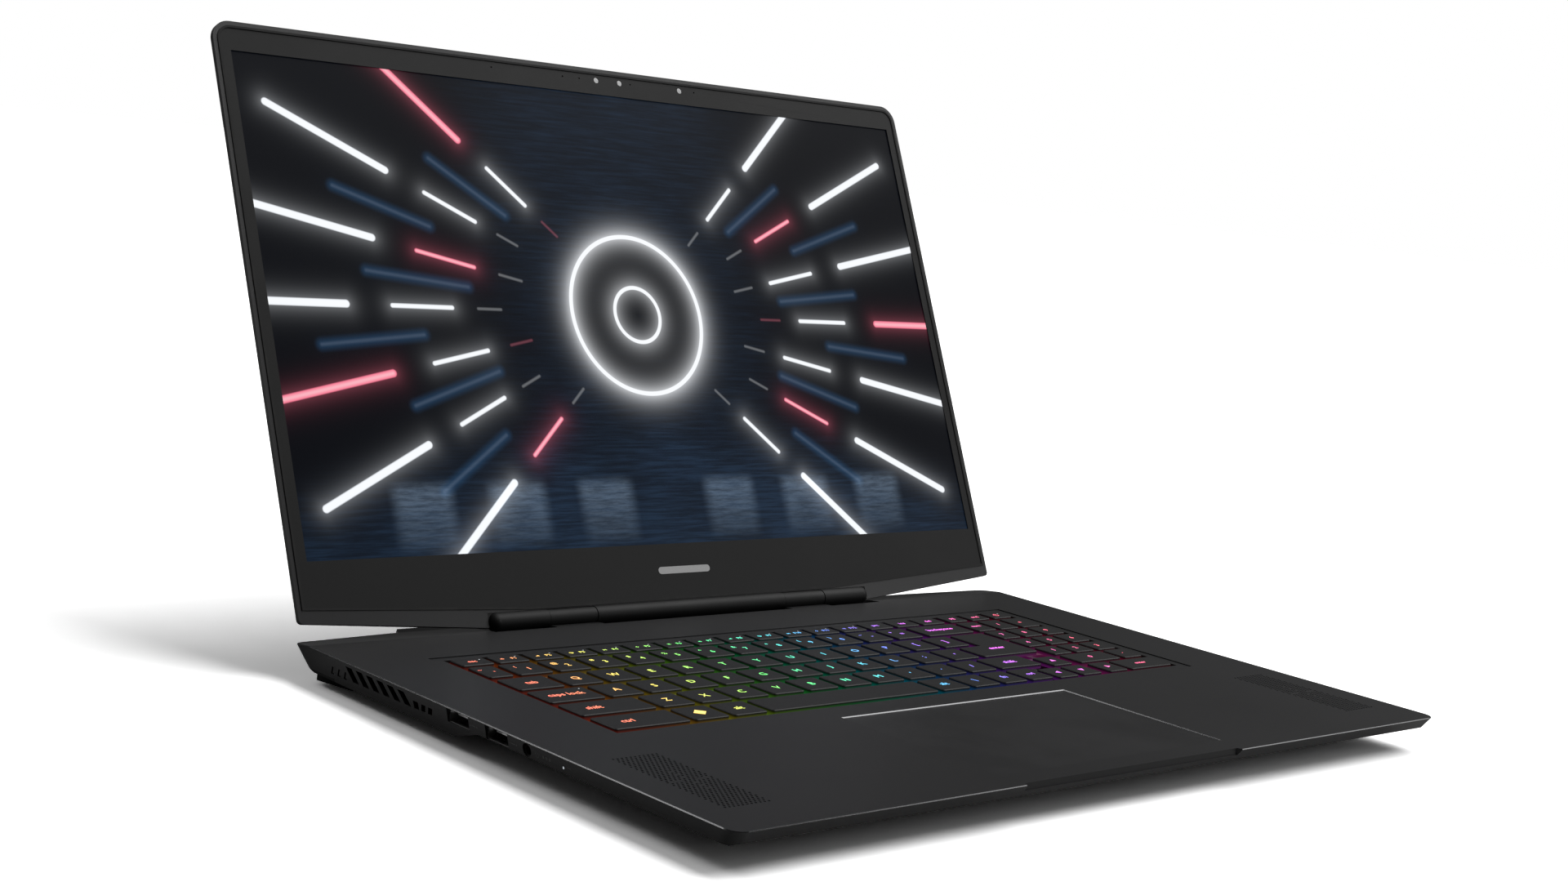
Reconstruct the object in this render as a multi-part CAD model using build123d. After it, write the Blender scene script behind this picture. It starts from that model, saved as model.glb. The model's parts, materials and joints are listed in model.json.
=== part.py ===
from build123d import *
import math
import os

os.makedirs("parts", exist_ok=True)

# A 17.3 inch laptop computer, open for use. Millimetres, +Z up, +Y away from the user.
# The origin lies on the table, below the middle of the open laptop's own box.

# --- Base ---
WIDTH = 397.6                # widest line of the base, just below the deck
DEPTH = 283.5                # front edge to the rear exhaust block
DECK_Z = 15.3                # typing deck above the table
FOOT_HEIGHT = 3.1            # bottom plane above the table
EDGE_DROP = 0.4              # polished chamfer round the deck
SIDE_LEAN = 15               # lean of the side walls, inward going down, degrees
FRONT_LEAN = 34
REAR_LEAN = 41
FACET_LEAN = 75              # lean of the bevels under the walls
SHELL = 1.5                  # thickness of the casing's skins
FRONT_CORNER_R = 6.0
REAR_CORNER_R = 5.0
MAIN_DEPTH = 270.0           # front edge to the rear edge of the deck, beside the block
SHOULDER_DEPTH = 263.4       # the same at the outer sides
BLOCK_HALF = 150.0           # half width of the rear exhaust block
SLOPE_START = 250.0          # the deck falls gently behind this line
SLOPE_DROP = 2.6             # by this much at the rear edge
TROUGH_START = 249.0         # the hinge trough behind the deck
TROUGH_FLOOR_START = 255.0
TROUGH_DEPTH = 4.5
TROUGH_HALF = 112.0
BOSS_END = 262.0             # the deck runs on under the knuckles up to this line
SEAM = ((-20, -5.9), (139, -5.9), (150, -7.1), (199, -8.1), (250, -9.0))  # between the casings
FRONT_WALL = 5.0             # height of the front wall
SIDE_WALL = 5.7              # height of the side walls in their front half
REAR_WALL = 10.5             # height of the side walls in their rear half
BACK_WALL = 8.6              # height of the wall across the rear
FACET_TOP_END = 120.2        # slanted end of the front half's bevel, at deck height
FACET_LOW_END = 183.9        # and 20 mm lower
REACH = 600.0                # longer than anything, for cutting tools

# --- Keyboard ---
KEY_PITCH = 18.75
KEY_WIDTH = 16.1
KEY_HEIGHT = 2.0
KEY_CORNER = 1.1
KEY_EDGE = 0.3
KEY_TOP = 0.1                # cap tops stand this far above the deck
KEY_LEFT = -158.7
KEY_RIGHT = 157.0
MAIN_RIGHT = 111.0           # right edge of the main block of keys
WELL = (-160.4, 107.0, 158.7, 215.2)
RECESS = (-165.0, 102.4, 163.5, 219.0)
RECESS_DEPTH = 0.4
F_ROW = (204.4, 213.7)
NUMBER_ROW = (186.2, 201.6)
TOP_ROW = (166.9, 182.6)
HOME_ROW = (147.9, 163.6)
LOW_ROW = (129.1, 144.6)
SPACE_ROW = (109.9, 125.5)
ARROW_LOW = (108.6, 122.3)
ARROW_UP = (125.3, 138.3)
PAD_COLUMNS = ((114.2, 126.4), (129.0, 141.8), (144.4, KEY_RIGHT))
PAD_ROWS = ((171.2, 184.0), (155.8, 168.4), (140.6, 153.0))

# --- Touchpad and speakers ---
PAD = (-63.6, 12.9, 63.6, 92.3)
PAD_THICKNESS = 1.2
PAD_GAP = 0.3
PAD_DROP = 0.3               # the touchpad lies this far below the deck
PAD_CHAMFER = 0.35           # bright edge round its opening
GRILLE_X = (164.0, 184.8)
GRILLE_Y = (21.5, 80.5)
GRILLE_THICKNESS = 0.6

# --- Lid, in its own axes: x, u up the lid from the hinge axis, w out of the screen ---
OPEN_ANGLE = 114.7           # from closed
AXIS_DEPTH = 257.5
AXIS_Z = DECK_Z + 1.7
LID_HALF = 198.4
LID_TOP = 257.2
LID_CORNER_R = 8.5
LID_FOOT_U = 5.1             # lower edge of the lid at its corners
LID_DIP_U = -2.2             # lower edge beside the hinges
DIP_HALF = 110.0
NOTCH_U = 4.0                # lid edge above the hinge barrels
FACE_W = 0.84
RIM_W = -1.2                 # the rim is this deep, then the back slopes in
BACK_W = -3.8
BACK_SLOPE = 7.0
GASKET_INSET = 2.0
BEZEL_INSET = 3.0
GASKET_FOOT_U = 8.3          # lower edge of the gasket ring before its inset, at the corners
GASKET_DIP_U = 2.3           # and in the middle
GASKET_DIP_HALF = 88.0
PANEL_FACE_W = 0.3
SCREEN = (-191.0, 29.5, 191.0, 244.3)
BARREL_R = 4.0
CENTER_HALF = 54.7
KNUCKLE_X = (55.0, 80.0)
CAP_X = (80.3, 109.9)
SHAFT_R = 1.6
SHAFT_CLEARANCE = 0.05
LENS_U = 251.4

# --- Side and rear openings ---
SIDE_X = WIDTH / 2
PORT_H = -3.1
USB_A_AT = (150.0, 126.4)
USB_A = (13.4, 5.0)
JACK_AT = 108.7
JACK_R = 1.8
JACK_BODY_R = 2.4
JACK_LIP = 1.7               # the jack's face behind the widest line of the base
LED_AT = 88.2
LED_H = -3.7
LED_R = 0.5
USB_C_AT = (130.0, 110.0)
USB_C = (9.0, 3.2)
CARD_AT = (140.0, 168.0)
PORT_LIP = 2.0               # socket mouths behind the widest line of the base
PORT_BACK = 17.5             # and their inner ends
VENT_SLOTS = 6               # tall exhaust slots in a side wall, with smaller ones round them
VENT_START = 180.4
VENT_PITCH = 7.08
VENT_WIDTH = 4.2
REAR_H = -8.5
REAR_MOUTH = 279.5
REAR_PORTS = (("power", 104, 9.5, 6.3), ("ethernet", 76, 13.5, 6.6), ("hdmi", 46, 15.2, 5.6),
              ("usb_c", 18, 9.0, 3.2))
SCREW_R = 1.9
SCREW_AT = [(x, d) for x in (-150, -50, 50, 150) for d in (60, 150, 228)]

# --- Fans ---
FAN_X = 118.0
FAN_D = 190.0
FAN_R = 27.0
FAN_TOP = -4.8
FAN_HEIGHT = 5.7
BLADES = 19

# Rearmost line of the open lid: the edge of its rim at the top. The origin is half way to it.
OPEN_SIN = math.sin(math.radians(OPEN_ANGLE))
OPEN_COS = math.cos(math.radians(OPEN_ANGLE))
OPEN_DEPTH = AXIS_DEPTH - LID_TOP * OPEN_COS - RIM_W * OPEN_SIN


def fy(distance):
    """y of a line at this distance behind the front edge."""
    return distance - OPEN_DEPTH / 2


def dz(height):
    """z of a height measured from the deck."""
    return DECK_Z + height


def block(x0, x1, y0, y1, z0, z1):
    """Box between two corners, in part coordinates."""
    return Pos((x0 + x1) / 2, (y0 + y1) / 2, (z0 + z1) / 2) * Box(x1 - x0, y1 - y0, z1 - z0)


def base_block(x0, x1, d0, d1, h0, h1):
    """Box placed by distance from the front edge and height from the deck."""
    return block(x0, x1, fy(d0), fy(d1), dz(h0), dz(h1))


def side_prism(points, x0, x1):
    """Prism along X from an outline of (distance, height) points."""
    ring = Polyline(*[(x0, fy(d), dz(h)) for d, h in points], close=True)
    return extrude(make_face(ring), amount=x1 - x0, dir=(1, 0, 0))


def rod(radius, x0, x1, y=fy(AXIS_DEPTH), z=AXIS_Z):
    """Round bar along X."""
    return Pos((x0 + x1) / 2, y, z) * Rot(0, 90, 0) * Cylinder(radius, x1 - x0)


def mirrored(part):
    """The same piece on the other side of the centre plane."""
    return mirror(part, about=Plane.YZ)


def both_sides(part):
    return [part, mirrored(part)]


def union(parts):
    total = parts[0]
    for piece in parts[1:]:
        total = total + piece
    return total


def write(name, parts):
    """Write one sub-part; several solids become one group."""
    solids = []
    for piece in parts if isinstance(parts, list) else [parts]:
        solids.extend(piece.solids())
    shape = solids[0] if len(solids) == 1 else Compound(children=solids)
    shape.label = name
    export_step(shape, "parts/" + name + ".step")


# --- Casing ---

def outside(start, end, height, lean, inset):
    """Cutting tool: all that lies beyond a wall leaning inward going down.

    The wall passes through a line of the plan at this height and is moved inward by an inset.
    """
    along = Vector(end[0] - start[0], end[1] - start[1], 0).normalized()
    tilt = math.radians(lean)
    normal = Vector(along.Y * math.cos(tilt), -along.X * math.cos(tilt), -math.sin(tilt))
    foot = Vector(start[0], fy(start[1]), dz(height)) - normal * inset
    beyond = Pos(0, 0, REACH / 2) * Box(2 * REACH, 2 * REACH, REACH)
    return Plane(origin=foot, z_dir=normal).location * beyond


def casing_walls(inset):
    """Cutting tools for the six walls, counter-clockwise from the front."""
    half = WIDTH / 2
    ring = [(-half, 0), (half, 0), (half, SHOULDER_DEPTH), (BLOCK_HALF, MAIN_DEPTH),
            (-BLOCK_HALF, MAIN_DEPTH), (-half, SHOULDER_DEPTH)]
    leans = [FRONT_LEAN, SIDE_LEAN, REAR_LEAN, REAR_LEAN, REAR_LEAN, SIDE_LEAN]
    walls = zip(ring, ring[1:] + ring[:1], leans)
    return [outside(a, b, -EDGE_DROP, lean, inset) for a, b, lean in walls]


def inward(height, lean):
    """How far a leaning wall has moved inward at this height."""
    return (-height - EDGE_DROP) * math.tan(math.radians(lean))


def facets(inset):
    """Cutting tools: the shallow bevels under the walls."""
    front = inward(-FRONT_WALL, FRONT_LEAN)
    side = inward(-SIDE_WALL, SIDE_LEAN) - WIDTH / 2
    low_side = inward(-REAR_WALL, SIDE_LEAN) - WIDTH / 2
    rear = SHOULDER_DEPTH - inward(-BACK_WALL, REAR_LEAN)
    slant = [(FACET_TOP_END - inset, 0), (FACET_LOW_END - inset, -20)]
    front_half = side_prism([(-20, 0), *slant, (-20, -20)], -REACH / 2, 0)
    tools = [outside((-1, front), (1, front), -FRONT_WALL, FACET_LEAN - 6, inset),
             outside((1, rear), (-1, rear), -BACK_WALL, FACET_LEAN, inset)]
    tools += both_sides(outside((side, 1), (side, 0), -SIDE_WALL, FACET_LEAN, inset) & front_half)
    return tools + both_sides(outside((low_side, 1), (low_side, 0), -REAR_WALL, FACET_LEAN, inset))


def exhaust_block(inset):
    """The block behind the hinges that holds the rear sockets and exhausts."""
    low = FOOT_HEIGHT - DECK_Z + inset
    profile = [(235, -TROUGH_DEPTH - inset), (DEPTH - 2 - inset, -TROUGH_DEPTH - inset),
               (DEPTH - inset, -6.5 - inset / 2), (277.5 - inset, low), (235, low)]
    half = BLOCK_HALF - 2 - inset
    solid = side_prism(profile, -half, half)
    tip = half - 11
    plan = Polyline((-half, fy(230)), (half, fy(230)), (half, fy(264)), (tip, fy(DEPTH)),
                    (-tip, fy(DEPTH)), (-half, fy(264)), close=True)
    return solid & extrude(make_face(plan), amount=DECK_Z, dir=(0, 0, 1))


def deck_slope():
    """Cutting tool: the deck falls towards the rear edge."""
    return side_prism([(SLOPE_START, 0), (MAIN_DEPTH, -SLOPE_DROP), (REACH / 2, -SLOPE_DROP),
                       (REACH / 2, 5), (SLOPE_START, 5)], -REACH / 2, REACH / 2)


def hinge_trough():
    """Cutting tool: the trough that the hinge barrels turn in, broken by the knuckles' bosses."""
    trough = side_prism([(TROUGH_START, 5), (TROUGH_START, -1.75), (TROUGH_FLOOR_START, -TROUGH_DEPTH),
                         (REACH / 2, -TROUGH_DEPTH), (REACH / 2, 5)], -TROUGH_HALF, TROUGH_HALF)
    boss = base_block(-KNUCKLE_X[1], -KNUCKLE_X[0], 0, BOSS_END, -TROUGH_DEPTH, 5)
    for side in both_sides(boss):
        trough = trough - side
    return trough


def opening_notch():
    """Cutting tool: the finger notch in the front edge."""
    plan = Polyline((-67, fy(-5)), (-63, fy(1.9)), (60, fy(1.9)), (64, fy(-5)), close=True)
    return Pos(0, 0, dz(-2.6)) * extrude(make_face(plan), amount=5, dir=(0, 0, 1))


def casing_form(inset):
    """The leaning block of the casing without its bevels, drawn inward by an inset."""
    form = base_block(-WIDTH, WIDTH, -20, 300, FOOT_HEIGHT - DECK_Z + inset, -inset)
    for tool in casing_walls(inset) + [Pos(0, 0, -inset) * deck_slope()]:
        form = form - tool
    return form


def rounded(form):
    """Round the upright corners, then chamfer the rim of the deck."""
    upright = [e for e in form.edges() if e.bounding_box().size.Z > 8 and abs(e.center().X) > 180]
    form = fillet([e for e in upright if e.center().Y < 0], FRONT_CORNER_R)
    upright = [e for e in form.edges() if e.bounding_box().size.Z > 8 and abs(e.center().X) > 180]
    form = fillet([e for e in upright if e.center().Y > 0], REAR_CORNER_R)
    rim = [e for e in form.edges() if e.bounding_box().min.Z > dz(-SLOPE_DROP - 1)]
    return chamfer([e for e in rim if abs(e.center().Y - fy(SLOPE_START)) > 0.01], EDGE_DROP)


def casing_body():
    """Outer form of both casings together."""
    body = rounded(casing_form(0))
    for tool in facets(0) + [hinge_trough()]:
        body = body - tool
    return body + exhaust_block(0) - opening_notch()


def casing_cavity():
    """The space inside the casings."""
    space = casing_form(SHELL) - base_block(-REACH, REACH, 240, REACH, -TROUGH_DEPTH - SHELL, 5)
    for tool in facets(SHELL):
        space = space - tool
    return space + exhaust_block(SHELL + 0.1)


def above_seam():
    """Everything above the seam between the two casings."""
    rear = SEAM[-1][1]
    return side_prism([(-20, 20), *SEAM, (REACH / 2, rear), (REACH / 2, 20)], -REACH / 2, REACH / 2)


# --- Openings ---

def slanted_slot(d0, d1, lean, h0, h1):
    """Cutting tool: one vent slot in the left wall; its top leans to the rear."""
    return side_prism([(d0, h1), (d1, h1), (d1 + lean, h0), (d0 + lean, h0)], -SIDE_X - 5, -SIDE_X + 13)


def side_vents():
    """Cutting tools: the fan exhaust openings in the left wall."""
    slots = []
    for i in range(VENT_SLOTS):
        front = VENT_START + VENT_PITCH * i
        slots.append(slanted_slot(front, front + VENT_WIDTH, 4.0, -1.7, -6.5 - 0.12 * i))
    slots.append(slanted_slot(175.2, 178.4, 0.4, -3.5, -6.35))
    for i in range(2):
        front = 167.0 + 4.4 * i
        slots.append(slanted_slot(front, front + 2.6, -0.8, -3.6, -6.2))
    for i in range(3):
        rear = 225.9 + 4.5 * i
        slots.append(slanted_slot(rear, rear + 1.0, -1.7, -4.3, -7.4))
        slots.append(slanted_slot(rear - 1.2, rear, 0, -6.9, -7.4))
    return slots


def port_hole(side, at, width, height):
    """Cutting tool: rectangular socket opening in a side wall."""
    x0, x1 = sorted((side * (SIDE_X + 3), side * (SIDE_X - 18)))
    return base_block(x0, x1, at - width / 2, at + width / 2, PORT_H - height / 2, PORT_H + height / 2)


def side_holes():
    tools = both_sides(union(side_vents()))
    tools += [port_hole(-1, at, *USB_A) for at in USB_A_AT]
    tools += [port_hole(1, at, *USB_C) for at in USB_C_AT]
    tools.append(port_hole(1, sum(CARD_AT) / 2, CARD_AT[1] - CARD_AT[0], 2.6))
    tools.append(rod(JACK_BODY_R, -SIDE_X - 3, -SIDE_X + 18.5, fy(JACK_AT), dz(PORT_H)))
    tools.append(rod(LED_R, -SIDE_X - 3, -SIDE_X + 6, fy(LED_AT), dz(LED_H)))
    return tools


def rear_socket(x, width, height, depth):
    """Box of a rear socket; its mouth is in the rear face."""
    return base_block(x - width / 2, x + width / 2, REAR_MOUTH - depth, REAR_MOUTH,
                      REAR_H - height / 2, REAR_H + height / 2)


def rear_holes():
    """Cutting tools: the rear sockets and the slots of the fans' exhaust."""
    tools = []
    for _, x, width, height in REAR_PORTS:
        mouth = Pos(0, 10, 0) * rear_socket(x, width, height, 11)
        tools.append(rear_socket(x, width, height, 16) + mouth)
    for i in range(9):
        x = 6 - 13.5 * i
        tools.append(base_block(x - 10.5, x, 270, 290, -11.2, -6.6))
    return tools


def pad_chamfer():
    """Cutting tool: the bevelled edge of the touchpad's opening."""
    x0, d0, x1, d1 = PAD
    grow = 2 * (PAD_GAP + PAD_CHAMFER)
    rim = Pos((x0 + x1) / 2, fy((d0 + d1) / 2), DECK_Z) * Rectangle(x1 - x0 + grow, d1 - d0 + grow)
    return extrude(rim, amount=PAD_CHAMFER, dir=(0, 0, -1), taper=45)


def top_case(shell):
    """Deck, side walls and rear block top, with every opening."""
    case = shell & above_seam()
    x0, d0, x1, d1 = RECESS
    case = case - base_block(x0, x1, d0, d1, -RECESS_DEPTH, 5)
    x0, d0, x1, d1 = WELL
    case = case - base_block(x0, x1, d0, d1, -20, 5)
    x0, d0, x1, d1 = PAD
    case = case - base_block(x0 - PAD_GAP, x1 + PAD_GAP, d0 - PAD_GAP, d1 + PAD_GAP, -20, 5)
    grille = base_block(*GRILLE_X, *GRILLE_Y, -20, 5)
    hinge_tools = both_sides(bracket_slot()) + both_sides(knuckle_barrel())
    for tool in both_sides(grille) + side_holes() + rear_holes() + hinge_tools + [pad_chamfer()]:
        case = case - tool
    return max(case.solids(), key=lambda s: s.volume)


def bottom_cover(shell):
    """Tray with intake slots under the fans and the rear block's lower half."""
    cover = shell - above_seam()
    for side in (-1, 1):
        for i in range(12):
            x = side * (92 + 6.5 * i)
            cover = cover - base_block(x - 1.6, x + 1.6, 168, 214, -20, -10)
    for tool in side_holes() + rear_holes() + both_sides(foot_space()):
        cover = cover - tool
    for x, d in SCREW_AT:
        cover = cover - Pos(x, fy(d), FOOT_HEIGHT) * Cylinder(SCREW_R, 3 * SHELL)
    return max(cover.solids(), key=lambda s: s.volume)


def bottom_screws():
    """Countersunk screws that hold the bottom cover; heads flush with its skin."""
    screws = []
    for x, d in SCREW_AT:
        head = Pos(x, fy(d), FOOT_HEIGHT + SHELL / 2) * Cylinder(SCREW_R, SHELL)
        shank = Pos(x, fy(d), FOOT_HEIGHT + SHELL) * Cylinder(SCREW_R * 0.5, 0.7)
        socket = Pos(x, fy(d), FOOT_HEIGHT) * (Box(2.2, 0.5, 0.8) + Box(0.5, 2.2, 0.8))
        screws.append(head + shank - socket)
    return screws


def foot_space():
    """The corner of the bottom cover that the left rear foot fills, up to the seam."""
    return base_block(-SIDE_X, -150, 234, 262, -20, -9.3)


def rear_feet(shell):
    """Tall rubber feet in the rear corners of the bottom cover."""
    plan = Polyline((-191, fy(255)), (-187, fy(236)), (-158, fy(240)), (-151, fy(255)), close=True)
    sole = extrude(make_face(plan), amount=FOOT_HEIGHT + 1.0, dir=(0, 0, 1)) - casing_cavity()
    return both_sides((shell & foot_space()) + sole)


def front_feet():
    pad = SlotOverall(60, 9)
    foot = Pos(-118, fy(42), 0) * extrude(pad, amount=FOOT_HEIGHT)
    return both_sides(foot)


# --- Keyboard ---

def key_cap(x0, x1, rows):
    """One key cap: rounded, with a fine chamfer round its top."""
    d0, d1 = rows
    plan = RectangleRounded(x1 - x0, d1 - d0, KEY_CORNER)
    cap = extrude(Pos((x0 + x1) / 2, fy((d0 + d1) / 2), dz(KEY_TOP - KEY_HEIGHT)) * plan, amount=KEY_HEIGHT)
    return chamfer(cap.faces().sort_by(Axis.Z)[-1].edges(), KEY_EDGE)


def key_run(start, count, rows, pitch=KEY_PITCH, width=KEY_WIDTH):
    return [key_cap(start + pitch * i, start + pitch * i + width, rows) for i in range(count)]


def function_keys():
    keys = key_run(KEY_LEFT, 16, F_ROW, pitch=16.97, width=15.1)
    return keys + [key_cap(x0, x1, F_ROW) for x0, x1 in PAD_COLUMNS[:2]]


def number_keys():
    return [key_cap(KEY_LEFT, -147.6, NUMBER_ROW)] + key_run(-144.9, 12, NUMBER_ROW)


def modifier_keys():
    edges = [(KEY_LEFT, -123.7), (-121.3, -104.9), (-102.3, -85.9), (9.9, 26.2), (28.8, 44.6),
             (47.2, 61.6), (64.2, 78.0)]
    return [key_cap(x0, x1, SPACE_ROW) for x0, x1 in edges]


def arrow_keys():
    columns = ((80.8, 93.2), (96.0, 108.6), PAD_COLUMNS[0])
    low = [key_cap(x0, x1, ARROW_LOW) for x0, x1 in columns]
    return low + [key_cap(*columns[1], ARROW_UP)]


def keypad_keys():
    rows = (NUMBER_ROW,) + PAD_ROWS
    keys = [key_cap(x0, x1, row) for row in rows for x0, x1 in PAD_COLUMNS]
    keys.append(key_cap(PAD_COLUMNS[0][0], PAD_COLUMNS[1][1], ARROW_UP))
    keys.append(key_cap(*PAD_COLUMNS[2], ARROW_UP))
    keys.append(key_cap(PAD_COLUMNS[1][0], KEY_RIGHT, ARROW_LOW))
    return keys


def enter_key():
    """L-shaped key over two rows."""
    low, high = HOME_ROW[0], TOP_ROW[1]
    ring = Polyline((76.0, fy(low)), (MAIN_RIGHT, fy(low)), (MAIN_RIGHT, fy(high)), (90.2, fy(high)),
                    (90.2, fy(HOME_ROW[1])), (76.0, fy(HOME_ROW[1])), close=True)
    plan = Sketch() + make_face(ring)
    plan = fillet(plan.vertices(), KEY_CORNER)
    cap = extrude(Pos(0, 0, dz(KEY_TOP - KEY_HEIGHT)) * plan, amount=KEY_HEIGHT)
    return chamfer(cap.faces().sort_by(Axis.Z)[-1].edges(), KEY_EDGE)


def keyboard_plate():
    """Tray under the keys, with a rim up to the deck's underside."""
    x0, d0, x1, d1 = WELL
    tray = base_block(x0 - 2, x1 + 2, d0 - 2, d1 + 2, -4.6, -SHELL)
    return tray - base_block(x0, x1, d0, d1, -4.0, 0)


def switch_membrane():
    x0, d0, x1, d1 = WELL
    return base_block(x0 + 0.5, x1 - 0.5, d0 + 0.5, d1 - 0.5, -4.0, -3.6)


# --- Deck fittings ---

def touchpad():
    x0, d0, x1, d1 = PAD
    return base_block(x0, x1, d0, d1, -PAD_DROP - PAD_THICKNESS, -PAD_DROP)


def touchpad_bracket():
    """Pressed frame under the touchpad, hung from the deck's underside."""
    x0, d0, x1, d1 = PAD
    rim = base_block(x0 - 5, x1 + 5, d0 - 5, d1 + 5, -3.0, -SHELL)
    well = base_block(x0 - 1, x1 + 1, d0 - 1, d1 + 1, -2.3, 0)
    window = base_block(x0 + 14, x1 - 14, d0 + 14, d1 - 14, -5, 0)
    return rim - well - window


def speaker_grille():
    """Left grille insert, with the slits of the plus mark in its middle."""
    x0, x1 = -GRILLE_X[1], -GRILLE_X[0]
    d0, d1 = GRILLE_Y
    plate = base_block(x0, x1, d0, d1, -GRILLE_THICKNESS, 0)
    xc, dc = (x0 + x1) / 2, (d0 + d1) / 2
    for side in (-1, 1):
        plate = plate - Pos(xc, fy(dc + side * 7.0), DECK_Z) * Box(0.5, 8.6, 4)
        plate = plate - Pos(xc + side * 5.6, fy(dc), DECK_Z) * Box(6.0, 0.5, 4)
    return plate


def speaker_box():
    """Closed speaker module under a grille, left side."""
    x0, x1 = -GRILLE_X[1], -GRILLE_X[0]
    box = base_block(x0 + 5, x1 + 10, 34, 90, -8.0, -2.4)
    cone = Pos((x0 + x1) / 2 + 7.5, fy(54), dz(-2.4)) * Cylinder(7.5, 1.6)
    return box - cone


def status_led():
    return rod(LED_R, -SIDE_X + 1.0, -SIDE_X + 6, fy(LED_AT), dz(LED_H))


# --- Hinges ---

def bracket_slot():
    """Space the left base bracket takes through the trough floor and knuckle cover."""
    return base_block(-76, -60, 256.2, 258.8, -9, 1.7)


def knuckle_barrel():
    """Outer form of the left knuckle; the deck holds its lower half."""
    return rod(BARREL_R - 0.2, -KNUCKLE_X[1], -KNUCKLE_X[0])


def knuckle_cover():
    """Left knuckle, fixed to the base: a tube round the hinge ring."""
    return knuckle_barrel() - rod(3.0, -KNUCKLE_X[1] - 1, -KNUCKLE_X[0] - 2) - bracket_slot()


def base_bracket():
    """Left hinge leaf in the base: a ring round the shaft, an arm and a foot plate."""
    ring = rod(2.9, -76, -60)
    arm = base_block(-76, -60, 256.2, 258.8, -8.5, 1.7)
    plate = base_block(-82, -58, 222, 258.8, -8.5, -7.3)
    bore = rod(SHAFT_R + SHAFT_CLEARANCE, -77, -59)
    return ring + arm + plate - bore


def hinge_shaft():
    return rod(SHAFT_R, -105, -57.5)


def lid_tongue():
    """Space of the left lid bracket's leaf, in lid axes."""
    return block(-104, -84, 0, 22, -2.5, -1.3)


def lid_bracket():
    """Left hinge leaf in the lid, in lid axes."""
    barrel = rod(2.8, -104, -84, 0, 0)
    return barrel + lid_tongue() - rod(SHAFT_R, -106, -82, 0, 0)


def hinge_cap():
    """Left barrel cap with a round outer end, fixed to the lid, in lid axes."""
    x0, x1 = -CAP_X[1], -CAP_X[0]
    middle = x0 + BARREL_R
    barrel = rod(BARREL_R, middle, x1, 0, 0) + Pos(middle, 0, 0) * Sphere(BARREL_R)
    web = block(x0, x1, 0, NOTCH_U, BACK_W + 0.2, FACE_W - 0.2)
    return barrel + web - rod(3.0, middle, x1 + 1, 0, 0) - lid_tongue()


def center_cover():
    """Barrel between the knuckles, fixed to the lid, in lid axes."""
    barrel = rod(BARREL_R, -CENTER_HALF, CENTER_HALF, 0, 0)
    web = block(-CENTER_HALF, CENTER_HALF, 0, NOTCH_U, BACK_W + 0.2, FACE_W - 0.2)
    return barrel + web - rod(2.6, -CENTER_HALF + 1, CENTER_HALF - 1, 0, 0)


# --- Lid ---
LID_PLACE = Plane(
    origin=(0, fy(AXIS_DEPTH), AXIS_Z), x_dir=(1, 0, 0),
    z_dir=(0, -OPEN_SIN, -OPEN_COS)).location


def lid_plan(inset, foot=LID_FOOT_U, dip=LID_DIP_U, dip_half=DIP_HALF):
    """Outline of the lid drawn inward by an inset; the top corners are round."""
    half = LID_HALF
    ring = Polyline((-half, LID_TOP), (-half, foot), (-dip_half, dip), (dip_half, dip),
                    (half, foot), (half, LID_TOP), close=True)
    plan = Sketch() + make_face(ring)
    plan = fillet(plan.vertices().group_by(Axis.Y)[-1], LID_CORNER_R)
    feet = plan.vertices().filter_by(lambda v: abs(v.X) > half - 1 and v.Y < 20)
    plan = fillet(feet, 2.0)
    return offset(plan, -inset) if inset else plan


def lid_slab(inset, w0, w1):
    """Plate of the lid's outline; the inset ones follow the gasket's lower edge."""
    plan = lid_plan(inset, GASKET_FOOT_U, GASKET_DIP_U, GASKET_DIP_HALF) if inset else lid_plan(0)
    return Pos(0, 0, w0) * extrude(plan, amount=w1 - w0)


def back_cover():
    """Metal lid shell: rim, sloped back edge, and two pockets for the panel."""
    rim = lid_slab(0, RIM_W, FACE_W)
    slope = math.degrees(math.atan(BACK_SLOPE / (RIM_W - BACK_W)))
    back = extrude(Pos(0, 0, RIM_W) * lid_plan(0), amount=RIM_W - BACK_W, dir=(0, 0, -1), taper=slope)
    shell = rim + back
    shell = shell - block(-DIP_HALF, DIP_HALF, -20, NOTCH_U, -10, 10)
    shell = shell - lid_slab(GASKET_INSET, -0.9, 5)
    shell = shell - block(-186, 186, 16, 247.5, BACK_W + 1.1, 5)
    for tongue in both_sides(lid_tongue()):
        shell = shell - tongue
    return shell


def gasket():
    """Soft ring between the shell's rim and the bezel, standing a little proud."""
    return lid_slab(GASKET_INSET, -0.5, FACE_W + 0.35) - lid_slab(BEZEL_INSET, -2, 5)


def lens_places():
    return [(0, 1.35), (13.9, 1.35), (50.8, 1.35)]


def pinhole_places():
    return [-59.7, -19.7, -10.0, 20.3, 60.0]


def bezel():
    """Plastic frame round the screen, with the camera openings."""
    frame = lid_slab(BEZEL_INSET, PANEL_FACE_W + 0.04, FACE_W)
    x0, u0, x1, u1 = SCREEN
    frame = frame - block(x0, x1, u0, u1, -5, 5)
    for x, r in lens_places():
        frame = frame - Pos(x, LENS_U, 0) * Cylinder(r, 5)
    for x in pinhole_places():
        frame = frame - Pos(x, LENS_U, 0) * Cylinder(0.4, 5)
    return frame


def lenses():
    return [Pos(x, LENS_U, FACE_W - 0.35) * Cylinder(r, 0.5) for x, r in lens_places()]


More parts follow.
